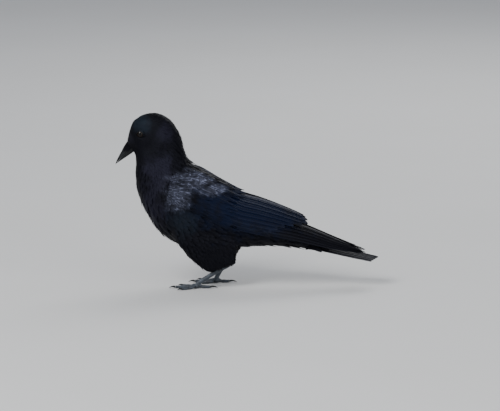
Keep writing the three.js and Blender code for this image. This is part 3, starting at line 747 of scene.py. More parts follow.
KIND_SHAPES = {  # columns, rows, outline; where the tip's arc begins, its depth; thickness
    "fleck": (even(2, -1, 1), even(3), rounded_vane, 0.3, 0.4, 0.12 * MM),
    "crown": (even(4, -1, 1), even(4), rounded_vane, 0.3, 0.36, 0.15 * MM),
    "hackle": (even(4, -1, 1), even(6), pointed_vane, 0.5, 0.1, 0.18 * MM),
    "contour": (even(6, -1, 1), even(7), rounded_vane, 0.35, 0.3, 0.22 * MM),
    "bristle": (even(2, -1, 1), even(6), pointed_vane, 0.9, 0, 0.2 * MM),
    "covert": (COVERT_COLUMNS, COVERT_ROWS_ALONG, rounded_vane, 0.5, 0.24, 0.3 * MM),
    "flight": (FLIGHT_COLUMNS, LONG_ROWS, long_vane, 0.84, 0.085, 0.38 * MM),
}
SHAFTS = {  # its place across the vane, and its height over it
    "covert": {"shaft": 0.0, "ridge": 0.18 * MM},
    "flight": {"shaft": OUTER_SHAFT, "ridge": 0.4 * MM},
}
KINDS = {
    kind: model_vane(kind, *shape, **SHAFTS.get(kind, {})) for kind, shape in KIND_SHAPES.items()
}

# %% [markdown]
# ## Where the small feathers root
#
# Roots are strewn on the skin at random, but none nearer to another than the spacing of the coat
# there. That keeps the even, brick-like order of real feather tracts with no visible grid. Skin
# that the folded wings cover gets none. The lids are feathered almost to their rims.

# %% Skin as a surface to walk on
skin_mesh = skin.data
skin_mesh.calc_loop_triangles()
triangle_points = read_vectors(skin_mesh.loop_triangles, "vertices").astype(int)
triangle_loops = read_vectors(skin_mesh.loop_triangles, "loops").astype(int)
triangle_slot = read_vectors(skin_mesh.loop_triangles, "material_index", 1).astype(int).ravel()
plumed = triangle_slot == skin_mesh.materials.find("plumage_skin")
triangle_points = triangle_points[plumed]
triangle_loops = triangle_loops[plumed]
skin_points = read_vectors(skin_mesh.vertices, "co")
skin_normals = read_vectors(skin_mesh.vertices, "normal")
skin_uv = read_vectors(skin_mesh.uv_layers[BAKE_MAP].data, "uv", 2)
skin_tree = BVHTree.FromPolygons(skin_points.tolist(), triangle_points.tolist())
LEAST_AREA = 1e-24


def settle(points):
    """The nearest points of the skin, with its smooth normals and its bake coordinates."""
    hits = [skin_tree.find_nearest(point) for point in points.tolist()]
    found = np.array([hit[0] for hit in hits])
    index = np.array([hit[2] for hit in hits])
    a, b, c = (skin_points[triangle_points[index, k]] for k in range(3))
    whole = np.cross(b - a, c - a)
    area = np.maximum((whole**2).sum(1), LEAST_AREA)
    share_b = (np.cross(found - a, c - a) * whole).sum(1) / area
    share_c = (np.cross(b - a, found - a) * whole).sum(1) / area
    shares = np.stack([1 - share_b - share_c, share_b, share_c], 1)[:, :, None]
    normals = normalise((skin_normals[triangle_points[index]] * shares).sum(1))
    return found, normals, (skin_uv[triangle_loops[index]] * shares).sum(1)


print("triangles to walk on:", len(triangle_points))

# %% Strewing the roots
CANDIDATES = 90000
CLOSENESS = 0.86
UNDER_WING = 16 * MM
SOCKET_WALL = 0.1 * MM
LID_RIM = math.radians(40)
TAIL_START = 99 * MM
HASH_SIZES = [2.2 * MM, 4.4 * MM, 9 * MM]
WING_NODES = [f"wing_{part}_{side}" for side in SIDES for part in ("coverts", "secondaries")]


def node_tree(names):
    """One search tree for several nodes of the frame."""
    points, triangles = [], []
    for name in names:
        mesh = frame["nodes"][name].data
        first = len(points)
        points += read_vectors(mesh.vertices, "co").tolist()
        triangles += [[first + v for v in face.vertices] for face in mesh.polygons]
    return BVHTree.FromPolygons(points, triangles)


def strew_roots():
    corners = skin_points[triangle_points]
    crossed = np.cross(corners[:, 1] - corners[:, 0], corners[:, 2] - corners[:, 0])
    spacing = coat_at(corners.mean(1))[3]
    weight = np.linalg.norm(crossed, axis=1) / spacing**2
    picked = random.choice(len(corners), CANDIDATES, p=weight / weight.sum())
    share = random.random((CANDIDATES, 2))
    share = np.where(share.sum(1, keepdims=True) > 1, 1 - share, share)
    points = corners[picked, 0] + share[:, :1] * (corners[picked, 1] - corners[picked, 0])
    return points + share[:, 1:] * (corners[picked, 2] - corners[picked, 0])


def bare_places(points, normals):
    """True under the folded wings, at the rims of the lids and where the tail begins."""
    covers = node_tree(WING_NODES)
    bare = np.array([
        covers.ray_cast(point, normal, UNDER_WING)[0] is not None
        for point, normal in zip(points.tolist(), normals.tolist())
    ])
    for side in SIDES:
        apart = points - np.array(node_centre("eye_" + side))
        far = np.linalg.norm(apart, axis=1)
        in_socket = far < EYE_RADIUS + EYE_ROOM + SOCKET_WALL
        in_front = apart @ np.array(EYE_GAZE[side]) > far * math.cos(LID_RIM)
        bare |= in_socket | (in_front & (far < 2 * EYE_RADIUS))
    return bare | (points[:, 0] > TAIL_START)


def keep_apart(points, spacing):
    """Indices of points that keep their own spacing, found with hashes of three cell sizes."""
    cells = [{} for _ in HASH_SIZES]
    level_of = np.searchsorted(HASH_SIZES, spacing).clip(0, len(HASH_SIZES) - 1)
    kept = []
    nearby = [(i, j, k) for i in (-1, 0, 1) for j in (-1, 0, 1) for k in (-1, 0, 1)]
    for index, (x, y, z) in enumerate(points.tolist()):
        level = level_of[index]
        size = HASH_SIZES[level]
        home = (int(x // size), int(y // size), int(z // size))
        limit = spacing[index] ** 2
        crowd = (
            other
            for i, j, k in nearby
            for other in cells[level].get((home[0] + i, home[1] + j, home[2] + k), ())
        )
        if any((x - p) ** 2 + (y - q) ** 2 + (z - r) ** 2 < limit for p, q, r in crowd):
            continue
        kept.append(index)
        for cell, width in zip(cells, HASH_SIZES):
            key = (int(x // width), int(y // width), int(z // width))
            cell.setdefault(key, []).append((x, y, z))
    return np.array(kept)


roots = strew_roots()
roots = roots[keep_apart(roots, coat_at(roots)[3] * CLOSENESS)]
roots, root_normals, root_uv = settle(roots)
free = ~bare_places(roots, root_normals)
roots, root_normals, root_uv = roots[free], root_normals[free], root_uv[free]
print("small feathers:", len(roots))

# %% [markdown]
# ## Laying a feather on the body
#
# From its root each feather takes steps of equal length along the skin. At every step the nearest
# skin is found under the shaft and under both edges, so the vane wraps round the body. It rises
# from root to tip, and since the feathers upstream have risen higher at any one place, they lie
# on top, as on the bird. A step that finds no skin ahead of it goes straight on, so the last
# coverts reach out over the tail.

# %% Laying and joining
OFF_SKIN = 0.45
SHARPEST_BEND = math.cos(math.radians(32))
FEATHER_STEPS = 6
FEATHER_DROOP = 0.10
ROOT_RISE = 0.12
RISE_CURVE = 0.9
RISE_JITTER = 0.10
WAY_JITTER = math.radians(5)
EDGE_RAGGED = 0.07
BAKE_PATCH = 0.003
SHARP_FROM = math.radians(50)
plumage = bpy.data.materials.new("plumage")
flight_plumage = bpy.data.materials.new("flight_plumage")


def near_skin(points, reach):
    """The skin's nearest points where they are within reach, and the same points elsewhere."""
    found, normals, _ = settle(points)
    far = np.linalg.norm(found - points, axis=1) > reach
    found[far] = points[far]
    return found, normals, far


def ragged(vane, count):
    """Small changes to each feather's outline, the same on the vane's two faces."""
    keys = np.round(vane["points"][:, :2], 3)
    _, same = np.unique(keys, axis=0, return_inverse=True)
    same = same.ravel()
    return 1 + EDGE_RAGGED * random.uniform(-1, 1, (count, same.max() + 1))[:, same]


def along_line(line, share):
    """Points at some shares of a line of evenly spaced points."""
    steps = line.shape[-2] - 1
    place = np.clip(share, 0, 1) * steps
    low = np.minimum(place.astype(int), steps - 1)
    part = (place - low)[:, None]
    return line[..., low, :] * (1 - part) + line[..., low + 1, :] * part


def lay_on_skin(vane, starts, normals, ways, length, width, depth):
    """World points of one feather for each start, shaped (feathers, points, 3)."""
    spine, edges_a, edges_b, tops = [starts], [], [], [normals]
    heading = flatten(ways, normals)
    step = length / FEATHER_STEPS
    headings = [heading]
    for _ in range(FEATHER_STEPS):
        guess = spine[-1] + heading * step[:, None]
        found, normal, far = near_skin(guess, (OFF_SKIN * step).max())
        far |= (normalise(found - spine[-1]) * heading).sum(1) < SHARPEST_BEND
        found[far] = guess[far]
        normal[far] = tops[-1][far]
        heading = flatten(normalise(found - spine[-1]), normal)
        spine.append(found)
        tops.append(normalise(normal + tops[-1]))
        headings.append(heading)
    for centre, top, heading in zip(spine, tops, headings):
        aside = normalise(np.cross(heading, top)) * width[:, None] / 2
        reach = OFF_SKIN * width.max() / 2
        edges_a.append(near_skin(centre - aside, reach)[0])
        edges_b.append(near_skin(centre + aside, reach)[0])

    across, along, thick = vane["points"].T
    centre, left, right, top = (
        along_line(np.stack(line, 1), along) for line in (spine, edges_a, edges_b, tops)
    )
    side = (across[None] * ragged(vane, len(starts)))[:, :, None]
    points = centre + side * (right - left) / 2 + side**2 * ((left + right) / 2 - centre)
    lift = 1 + RISE_JITTER * random.standard_normal(len(starts))
    rise = (depth * lift)[:, None] * (ROOT_RISE + (1 - ROOT_RISE) * along[None] ** RISE_CURVE)
    rise = rise - FEATHER_DROOP * width[:, None] * across[None] ** 2 + thick[None]
    return points + normalise(top) * rise[:, :, None]


def join_feathers(name, vane, shapes, bake_uv, material, flip=False):
    """One mesh of many feathers. flip turns the faces of feathers laid on a mirrored chart."""
    count, size = shapes.shape[:2]
    corners, own_uv = vane["faces"], vane["uv"].reshape(-1, 4, 2)
    if flip:
        corners, own_uv = corners[:, ::-1], own_uv[:, ::-1]
    own_uv = own_uv.reshape(-1, 2)
    faces = (corners[None] + np.arange(count)[:, None, None] * size).reshape(-1)
    mesh = bpy.data.meshes.new(name)
    mesh.vertices.add(count * size)
    mesh.loops.add(len(faces))
    mesh.polygons.add(len(faces) // 4)
    mesh.vertices.foreach_set("co", shapes.ravel())
    mesh.loops.foreach_set("vertex_index", faces)
    mesh.polygons.foreach_set("loop_start", np.arange(0, len(faces), 4))
    mesh.update(calc_edges=True)
    mesh.uv_layers.new(name=BAKE_MAP).data.foreach_set("uv", bake_uv(own_uv).ravel())
    mesh.uv_layers.new(name="Vane").data.foreach_set("uv", np.tile(own_uv, (count, 1)).ravel())
    mesh.materials.append(material)
    piece = bpy.data.objects.new(name, mesh)
    bpy.context.scene.collection.objects.link(piece)
    activate(piece)
    bpy.ops.object.shade_smooth_by_angle(angle=SHARP_FROM)
    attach(piece, "root")
    print(name, count, "feathers,", len(faces) // 2, "triangles")
    return piece


def patches(places):
    """Bake coordinates: each feather is a small patch at its root's place on the skin's unwrap."""
    return lambda own_uv: places[:, None] + (own_uv[None] - 0.5) * BAKE_PATCH


# %% Steering round the eyes
EYE_STEER = 10 * MM
EYE_RIM = 4.3 * MM
SHORTENED = 0.45
LENGTH_SPREAD = (0.9, 1.1)


def steer(points, ways, length):
    """Turns feathers that would point across an eye, and shortens those that still reach it."""
    for side in SIDES:
        gaze = np.array(EYE_GAZE[side])
        apart = points - np.array(node_centre("eye_" + side))
        aside = apart - (apart @ gaze)[:, None] * gaze
        far = np.linalg.norm(aside, axis=1)
        same_side = apart @ gaze > 0
        inward = -aside / far[:, None]
        toward = np.maximum((ways * inward).sum(1), 0)
        hold = same_side * (1 - smoothstep(EYE_RIM, EYE_STEER, far))
        ways = ways - inward * (toward * hold)[:, None]
        tip = aside + normalise(ways) * length[:, None]
        short = same_side & (np.linalg.norm(tip, axis=1) < EYE_RIM)
        length = np.where(short, length * SHORTENED, length)
    return normalise(ways), length


ways, lengths, widths, spacings, depths = coat_at(roots)
spin = random.normal(0, WAY_JITTER, len(roots))
ways, lengths = steer(roots, flatten(ways, root_normals), lengths)
ways = ways * np.cos(spin)[:, None] + np.cross(root_normals, ways) * np.sin(spin)[:, None]
lengths = lengths * random.uniform(*LENGTH_SPREAD, len(roots))
print("longest:", round(lengths.max() / MM, 1), "mm, shortest:", round(lengths.min() / MM, 1), "mm")

# %% The coat, piece by piece
LEAST_REACH = 0.75
TAIL_UNDER = (105 * MM, 55.5 * MM)
TAIL_FALL = 0.2


def hangs(tips):
    """True for the tips that would stand off below the tail."""
    back = tips[:, 0] - TAIL_UNDER[0]
    return (back > 0) & (tips[:, 2] < TAIL_UNDER[1] - TAIL_FALL * back)


KIND_LIMITS = {  # spacing in mm
    "fleck": (0, 2.0), "crown": (2.0, 3.1), "hackle": (3.1, 5.3), "contour": (5.3, 99),
}
kind_of = np.select(
    [(spacings >= low * MM) & (spacings < high * MM) for low, high in KIND_LIMITS.values()],
    list(range(len(KIND_LIMITS))),
)
for number, kind in enumerate(KIND_LIMITS):
    for side, sign in SIDES.items():
        own = np.flatnonzero((kind_of == number) & (roots[:, 1] * sign >= 0))
        vane = KINDS[kind]
        laid = lay_on_skin(
            vane, roots[own], root_normals[own], ways[own], lengths[own], widths[own], depths[own]
        )
        tips = laid[:, vane["points"][:, 1].argmax()]
        lies_well = ((tips - roots[own]) * ways[own]).sum(1) > LEAST_REACH * lengths[own]
        lies_well &= ~hangs(tips)
        laid, own = laid[lies_well], own[lies_well]
        join_feathers(f"coat_{kind}_{side}", vane, laid, patches(root_uv[own]), plumage)

# %% [markdown]
# ## Bristles over the nostrils
#
# Stiff bristles grow forward from the forehead and hide a crow's nostrils. They lie on the horn
# and not on the skin, so they follow the bill: each starts at its base, and keeps to its line
# with a small fan outwards.

# %% Nasal bristles
BILL_LINE = normalise(np.array([-0.716, 0, -0.698]))
BILL_CREST = normalise(np.array([-0.698, 0, 0.716]))
BILL_ROOT = np.array([-179, 0, 216.5]) * MM
BRISTLES_A_SIDE = 75
BRISTLE_STEPS = 6
BRISTLE_LONG = 13 * MM
BRISTLE_WIDE = 0.8 * MM
BRISTLE_TURNS = (8, 84)  # degrees up from the side of the bill
BRISTLE_STARTS = (-5.0, 1.0)  # mm along the bill from its root
BRISTLE_SHARES = (0.65, 1.0)  # of the full length, at the top of the bill
BRISTLE_LOW_SHARE, BRISTLE_HIGH_GAIN = 0.75, 0.25
BRISTLE_FAN = 0.09
BRISTLE_OVER, BRISTLE_ROOT_OVER = 0.5, 1.1  # mm over the horn at the tip, and more at the root
PROBE_FROM, PROBE_FAR = 14 * MM, 20 * MM
PAST_THE_BILL = 8 * MM
bill_tree = node_tree(["bill_upper"])


def lay_bristles(sign):
    """Bristles over one side of the bill's base, from near the gape to the culmen."""
    vane = KINDS["bristle"]
    across, along, thick = vane["points"].T
    made = []
    for _ in range(BRISTLES_A_SIDE):
        turn = math.radians(random.uniform(*BRISTLE_TURNS))
        start = random.uniform(*BRISTLE_STARTS) * MM
        long = BRISTLE_LONG * random.uniform(*BRISTLE_SHARES)
        long = long * (BRISTLE_LOW_SHARE + BRISTLE_HIGH_GAIN * math.sin(turn))
        fan = random.normal(0, BRISTLE_FAN)
        out = BILL_CREST * math.sin(turn) + np.array([0, sign * math.cos(turn), 0])
        line = []
        for place in np.linspace(0, 1, BRISTLE_STEPS + 1):
            probe = BILL_ROOT + BILL_LINE * (start + long * place) + out * PROBE_FROM
            probe = probe + np.cross(BILL_LINE, out) * fan * long * place
            hit = bill_tree.ray_cast(probe.tolist(), (-out).tolist(), PROBE_FAR)[0]
            surface = np.array(hit) if hit is not None else probe - out * PAST_THE_BILL
            over = BRISTLE_OVER + BRISTLE_ROOT_OVER * (1 - place) ** 2
            line.append(surface + out * over * MM)
        centre = along_line(np.array(line), along)
        aside = np.cross(BILL_LINE, out) * BRISTLE_WIDE / 2
        made.append(centre + across[:, None] * aside + out * thick[:, None])
    return np.array(made), np.array([shape[along.argmin()] for shape in made])


for side, sign in SIDES.items():
    shapes, starts = lay_bristles(sign)
    join_feathers(
        "bristles_" + side, KINDS["bristle"], shapes, patches(settle(starts)[2]), plumage
    )

# %% [markdown]
# ## Charts of the folded wing and the tail
#
# The long feathers don't lie on the skin. They are spread over surfaces of their own: a folded
# wing is a shallow bulging sheet from its top edge to its low edge, and the closed tail a low
# arch. Each surface is a chart with two coordinates: u runs back along the feathers, and v from
# the top edge, or the tail's middle, outwards. A feather is then simply a strip of its chart.

# %% Charts, in mm: top edge x, y, z; low edge x, y, z; bulge; lead
WING = np.array([
    (-110, 36, 178, -121, 45, 141, 7, 9),
    (-80, 27, 184.5, -98, 47, 128, 12, 3),
    (-42, 17, 165.5, -62, 49, 114.5, 12, 0),
    (-10, 10, 149.6, -20, 46, 98.5, 13, 0),
    (20, 6, 140.5, 20, 41, 89.5, 12, 0),
    (52, 3.5, 128.5, 56, 34, 82.5, 9.5, 0),
    (92, 3, 111, 100, 27, 74, 7, 0),
])
PRIMARIES = np.array([
    (-12, 41, 118, -14, 44, 97, 2, 0),
    (20, 35, 112, 20, 40.5, 88.5, 3, 0),
    (56, 19, 108, 56, 34.5, 80.5, 6, 0),
    (92, 8, 96.5, 92, 28, 71.5, 5, 0),
    (128, 7, 81, 129, 22.5, 62, 4, 0),
    (158, 8, 67.5, 158, 17.5, 56.5, 2.5, 0),
    (184, 8, 56.5, 184, 14, 52, 1.5, 0),
])
TAIL_ROOT, TAIL_TIP = (72, 78), (204, 45)
TAIL_HALF, TAIL_ARCH = (13, 26.5), (11, 5.5)
TAIL_WIDENS = 0.8


def spline(stations, t):
    """Catmull-Rom through the stations, run straight on past either end."""
    reach = t * (len(stations) - 1)
    first = np.clip(reach.astype(int), 0, len(stations) - 2)
    s = (reach - first)[:, None]
    a, b, c, d = (
        stations[np.clip(first + k, 0, len(stations) - 1)] for k in (-1, 0, 1, 2)
    )
    curve = 2 * a - 5 * b + 4 * c - d + s * (3 * (b - c) + d - a)
    return b + 0.5 * s * (c - a + s * curve)


FOLD_OVER = (0, 48, 16)


def sheet_chart(stations, sign):
    """Where v is below 0, the sheet folds over towards the middle of the back."""
    def place(u, v):
        at = spline(stations, u)
        over = np.minimum(v, 0)[:, None]
        v = np.maximum(v, 0)[:, None]
        pull = np.stack([-at[:, 7], at[:, 6], np.zeros(len(at))], 1)
        point = at[:, :3] * (1 - v) + at[:, 3:6] * v + pull * 4 * v * (1 - v)
        return (point + over * FOLD_OVER) * (1, sign, 1) * MM
    return place


def tail_chart(sign):
    def place(u, v):
        half = TAIL_HALF[0] + (TAIL_HALF[1] - TAIL_HALF[0]) * np.maximum(u, 0) ** TAIL_WIDENS
        arch = TAIL_ARCH[0] + (TAIL_ARCH[1] - TAIL_ARCH[0]) * u
        x = TAIL_ROOT[0] + (TAIL_TIP[0] - TAIL_ROOT[0]) * u
        z = TAIL_ROOT[1] + (TAIL_TIP[1] - TAIL_ROOT[1]) * u - arch * v * v
        return np.stack([x, sign * v * half, z], 1) * MM
    return place


CHART_STEP = 0.004
PLAIN_FEATHER = {"rise": 1.0, "droop": 0.0, "ragged": 0.4}


def lay_on_chart(vane, place, sign, feathers):
    """feathers: dicts with u and v from root to tip, half widths, lifts in mm and a tilt in mm."""
    across, along, thick = vane["points"].T
    outline = ragged(vane, len(feathers))
    made = []

    def span(pair, power=1.0):
        return pair[0] + (pair[1] - pair[0]) * np.maximum(along, 0) ** power

    for number, feather in enumerate(feathers):
        f = PLAIN_FEATHER | feather
        aside = across * (1 + (outline[number] - 1) * f["ragged"])
        u = span(f["u"])
        v = span(f["v"]) + aside * span(f["half"])
        point = place(u, v)
        ahead = place(u + CHART_STEP, v) - place(u - CHART_STEP, v)
        down = place(u, v + CHART_STEP) - place(u, v - CHART_STEP)
        normal = normalise(np.cross(down, ahead)) * -sign
        lift = span(f["lift"], f["rise"]) + f["tilt"] * across
        lift = lift - f["droop"] * across**2
        made.append(point + normal * (lift * MM + thick)[:, None])
    return np.array(made)


STRIP_WIDE, STRIP_HIGH = 0.44, 0.98
STRIP_MARGIN_X, STRIP_MARGIN_Y = 0.03, 0.01


def strips(count):
    """Bake coordinates of large feathers: each has a strip of the square, for both its faces."""
    size, margin = (STRIP_WIDE / count, STRIP_HIGH), (STRIP_MARGIN_X / count, STRIP_MARGIN_Y)
    corner = np.stack([np.arange(count) / count, np.zeros(count)], 1)
    return lambda own_uv: own_uv[None] * size + margin + corner[:, None]


print("chart of the wing:", len(WING), "stations")

# %% [markdown]
# ## Wing coverts and scapulars
#
# Small coverts cover the front of the folded wing like roof tiles, in rows whose joints are
# staggered. Each row starts under the one in front of it. The scapulars, rooted on the shoulder,
# fall over the top edge of the wing and close the gap to the back.

# %% Rows of coverts
COVERT_ROWS = [  # end of the row, length, feathers, half width, lift at root and tip
    {"tip": 0.040, "long": 0.075, "count": 11, "half": 0.070, "lift": (-0.9, 0.9)},
    {"tip": 0.080, "long": 0.080, "count": 11, "half": 0.070, "lift": (-0.9, 0.9)},
    {"tip": 0.120, "long": 0.085, "count": 10, "half": 0.076, "lift": (-0.9, 0.9)},
    {"tip": 0.162, "long": 0.090, "count": 10, "half": 0.076, "lift": (-0.9, 0.9)},
    {"tip": 0.205, "long": 0.095, "count": 9, "half": 0.084, "lift": (-0.9, 1.0)},
    {"tip": 0.250, "long": 0.105, "count": 9, "half": 0.084, "lift": (-0.9, 1.0)},
    {"tip": 0.335, "long": 0.160, "count": 9, "half": 0.088, "lift": (-1.0, 1.0)},
    {"tip": 0.500, "long": 0.250, "count": 10, "half": 0.080, "lift": (-1.2, 1.0)},
]
ROW_TOP, ROW_LOW = 0.06, 1.0
ROW_STAGGER = 0.5
SHUFFLE_U, SHUFFLE_V = 0.008, 0.010
SHUFFLE_LENGTH = 0.09  # a covert of this length is shuffled by SHUFFLE_U
COVERT_DROP, DROP_LENGTH = 0.03, 0.1  # one of this length runs so far down the wing
ROOT_NARROW = 0.8
COVERT_FORM = {"tilt": 0.25, "droop": 0.35, "ragged": 1.0}


def covert_feathers():
    feathers = []
    for number, row in enumerate(COVERT_ROWS):
        long, half = row["long"], row["half"]
        pitch = (ROW_LOW - ROW_TOP) / row["count"]
        drop = COVERT_DROP * long / DROP_LENGTH
        for i in range(row["count"] + 1):
            v = ROW_TOP + (i + ROW_STAGGER * (number % 2)) * pitch + random.normal(0, SHUFFLE_V)
            tip = row["tip"] + random.normal(0, SHUFFLE_U) * long / SHUFFLE_LENGTH
            places = {"u": (tip - long, tip), "v": (v - drop, v), "lift": row["lift"]}
            feathers.append(places | {"half": (half * ROOT_NARROW, half)} | COVERT_FORM)
    return feathers


# %% [markdown]
# ### Tucking the wing in
#
# At rest the front of a wing lies in among the feathers of the breast and the flank, and no edge
# of it stands off. So the front of the wing's sheet, and the front part of its low edge, are
# drawn in to a hair above the skin before the coverts are laid on it.

# %% The tucked sheet
TUCK_FRONT = (-0.03, 0.07)  # u, from the full tuck of the front edge to none
TUCK_LOW = (0.82, 1.08)  # v, from none to the full tuck of the low edge
TUCK_END = (0.28, 0.46)  # u, over which the tuck of the low edge dies out
TUCK_MOST = 0.85
TUCK_ABOVE = 1.6 * MM


def tucked_chart(sign):
    """The wing's sheet, drawn in to the body at its front and along the front of its low edge."""
    sheet = sheet_chart(WING, sign)

    def place(u, v):
        point = sheet(u, v)
        low = smoothstep(*TUCK_LOW, v) * (1 - smoothstep(*TUCK_END, u))
        share = TUCK_MOST * np.maximum(1 - smoothstep(*TUCK_FRONT, u), low)
        near = np.flatnonzero(share > 0)
        if len(near):
            body, normal, _ = settle(point[near])
            gap = body + normal * TUCK_ABOVE - point[near]
            point[near] += gap * share[near, None]
        return point
    return place


# %% Scapulars
SCAPULAR_ROWS = 8
SCAPULAR_LANES = (-0.13, -0.02, 0.09)
SCAPULAR_STEP = 0.045
SCAPULAR_AHEAD = 0.04
SCAPULAR_LONG, SCAPULAR_LONGER = 0.13, 0.014
SCAPULAR_DROP = 0.03
SCAPULAR_FORM = {
    "half": (0.06, 0.085), "lift": (-0.4, 1.9), "tilt": 0.2, "droop": 0.4, "ragged": 1.0,
}


def scapular_feathers():
    """Three lanes along the top edge. The lane nearest to the back folds over it."""
    feathers = []
    for row in range(SCAPULAR_ROWS):
        long = SCAPULAR_LONG + SCAPULAR_LONGER * row
        for lane, v in enumerate(SCAPULAR_LANES):
            root = SCAPULAR_STEP * (row + ROW_STAGGER * (lane % 2)) - SCAPULAR_AHEAD
            root = root + random.normal(0, SHUFFLE_U)
            places = {"u": (root, root + long), "v": (v, v + SCAPULAR_DROP)}
            feathers.append(places | SCAPULAR_FORM)
    return feathers


for side, sign in SIDES.items():
    vane = KINDS["covert"]
    shapes = lay_on_chart(vane, tucked_chart(sign), sign, covert_feathers())
    shoulder = lay_on_chart(vane, sheet_chart(WING, sign), sign, scapular_feathers())
    shapes = np.concatenate([shapes, shoulder])
    places = settle(shapes[:, vane["points"][:, 1].argmin()])[2]
    join_feathers(
        f"coat_wing_{side}", vane, shapes, patches(places), plumage, side == "right"
    )

# %% [markdown]
# ## Flight feathers
#
# Under the coverts the secondaries lie like a closed fan, the three broad tertials on top of it,
# and the primaries come out below them and cross to the tip. The tail has twelve feathers, the
# middle pair on top. Each feather is tilted, so that its free edge lies on the next one. Each has
# an off-centre shaft, as its narrow vane is the one that meets the wind.

# %% Secondaries
SECONDARIES = 8
TERTIALS = 3
SECONDARY_ROOT, SECONDARY_LOW = 0.36, 0.95
SECONDARY_HALF, SECONDARY_DROP = 0.14, 0.02
TERTIAL_TIP, TERTIAL_STEP, SECONDARY_STEP = 0.97, 0.015, 0.05
SECONDARY_FORM = {"lift": (-2.2, -0.1), "rise": 0.35, "tilt": 0.85}


def secondary_feathers():
    """The tertials end further back one by one, and the others further forward."""
    feathers = []
    for i in range(SECONDARIES):
        low = (i + 1) * SECONDARY_LOW / SECONDARIES
        half = min(SECONDARY_HALF, (low + SECONDARY_DROP) / 2)
        tip = TERTIAL_TIP + TERTIAL_STEP * i
        if i >= TERTIALS:
            tip = 1 - SECONDARY_STEP * (i - TERTIALS + 1)
        places = {"u": (SECONDARY_ROOT, tip), "v": (low - half - SECONDARY_DROP, low - half)}
        feathers.append(places | {"half": (half * ROOT_NARROW, half)} | SECONDARY_FORM)
    return feathers


# %% Primaries and their coverts
PRIMARY_COUNT = 6
PRIMARY_ROOT, PRIMARY_HALF = -0.02, 0.17
LONGEST_PRIMARY, PRIMARY_FALL = 3, 0.012
PRIMARY_FORM = {"lift": (-1.0, -0.1), "rise": 0.5, "tilt": 0.7}
PRIMARY_COVERTS = 4
COVERING_FROM, COVERING_TO, COVERING_LONGER = -0.08, 0.15, 0.03
COVERING_LOW, COVERING_HIGH, COVERING_STEP = 0.42, 0.40, 0.17
COVERING_FORM = {"half": (0.16, 0.15), "lift": (-0.4, 0.9), "tilt": 0.4, "rise": 0.6}


def primary_feathers():
    feathers = []
    for i in range(PRIMARY_COUNT):
        low = (i + 1) / PRIMARY_COUNT
        half = min(PRIMARY_HALF, low / 2)
        tip = 1 - PRIMARY_FALL * (i - LONGEST_PRIMARY) ** 2
        places = {"u": (PRIMARY_ROOT, tip), "v": (low - half, low - half), "half": (half, half)}
        feathers.append(places | PRIMARY_FORM)
    for i in range(PRIMARY_COVERTS):
        across = COVERING_STEP * i
        places = {
            "u": (COVERING_FROM, COVERING_TO + COVERING_LONGER * i),
            "v": (COVERING_LOW + across, COVERING_HIGH + across),
        }
        feathers.append(places | COVERING_FORM)
    return feathers


# %% Tail feathers
TAIL_PAIRS = 6
TAIL_FEATHER_HALF, MIDDLE_HALF = 0.29, 0.20
TAIL_FEATHER_ROOT = -0.10
TAIL_ROUNDING, TAIL_ROUND_POWER = 0.08, 1.5
TAIL_STACK = 0.8  # mm that the outermost feather lies below the middle line
TAIL_ROOT_DEEP, TAIL_TIP_DEEP, TAIL_TILT = 0.4, 0.1, 0.6


def tail_feathers():
    """The middle pair reaches past the middle line, so no gap opens between them at the tip."""
    feathers = []
    for i in range(TAIL_PAIRS):
        outer = (i + 1) / TAIL_PAIRS
        half = TAIL_FEATHER_HALF if i else MIDDLE_HALF
        tip = 1 - TAIL_ROUNDING * (i / (TAIL_PAIRS - 1)) ** TAIL_ROUND_POWER
        level = -TAIL_STACK * outer
        feathers.append({
            "u": (TAIL_FEATHER_ROOT, tip), "v": (outer - half, outer - half), "half": (half, half),
            "lift": (level - TAIL_ROOT_DEEP, level - TAIL_TIP_DEEP), "tilt": TAIL_TILT,
        })
    return feathers


# %% Laying the long feathers
for side, sign in SIDES.items():
    wing, fan = sheet_chart(WING, sign), sheet_chart(PRIMARIES, sign)
    sets = {
        "secondaries": (wing, secondary_feathers(), [f"wing_secondaries_{side}"]),
        "primaries": (fan, primary_feathers(), [f"wing_primaries_{side}"]),
        "tail": (tail_chart(sign), tail_feathers(), ["tail"]),
    }
    for label, (place, feathers, nodes) in sets.items():
        vane = KINDS["flight"]
        shapes = lay_on_chart(vane, place, sign, feathers)
        piece = join_feathers(
            f"{label}_feathers_{side}", vane, shapes, strips(len(shapes)), flight_plumage,
            side == "right",
        )
        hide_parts(*nodes)

# %% [markdown]
# ## Materials from shared groups
#
# Crow plumage is black, and its gloss is painted into the colour as painted sheen: blue on the
# wings, violet on the neck and the breast, teal on the forehead and the flank. A dull cool grey
# on the shoulder is partly wear of old feathers and partly a painted highlight. Three things are
# shared by several materials, so each is a node group: the tones and painted sheen of the plumage
# over the body, the barbs of a vane, and the fine grain of horn and scales. The shader itself
# stays in each material, with its plain numbers on it.

# %% Node helpers
def set_inputs(tree, node, inputs):
    """Gives a node's inputs a number, a colour or another node's output each."""
    for key, value in inputs.items():
        if isinstance(value, bpy.types.NodeSocket):
            tree.links.new(value, node.inputs[key])
        else:
            node.inputs[key].default_value = value


def add_node(tree, kind, inputs={}, **settings):
    """A shader node with its settings and inputs. The empty default is never written to."""
    node = tree.nodes.new("ShaderNode" + kind)
    for setting, value in settings.items():
        setattr(node, setting, value)
    set_inputs(tree, node, inputs)
    return node


def object_place(tree):
    return add_node(tree, "TexCoord").outputs["Object"]


def maths(tree, operation, first, second=0.0, third=0.0, clamp=False):
    inputs = {0: first, 1: second, 2: third}
    return add_node(tree, "Math", inputs, operation=operation, use_clamp=clamp).outputs[0]


def vector_maths(tree, operation, first, second=(0, 0, 0)):
    node = add_node(tree, "VectorMath", {0: first, 1: second}, operation=operation)
    return node.outputs["Value" if operation == "LENGTH" else "Vector"]


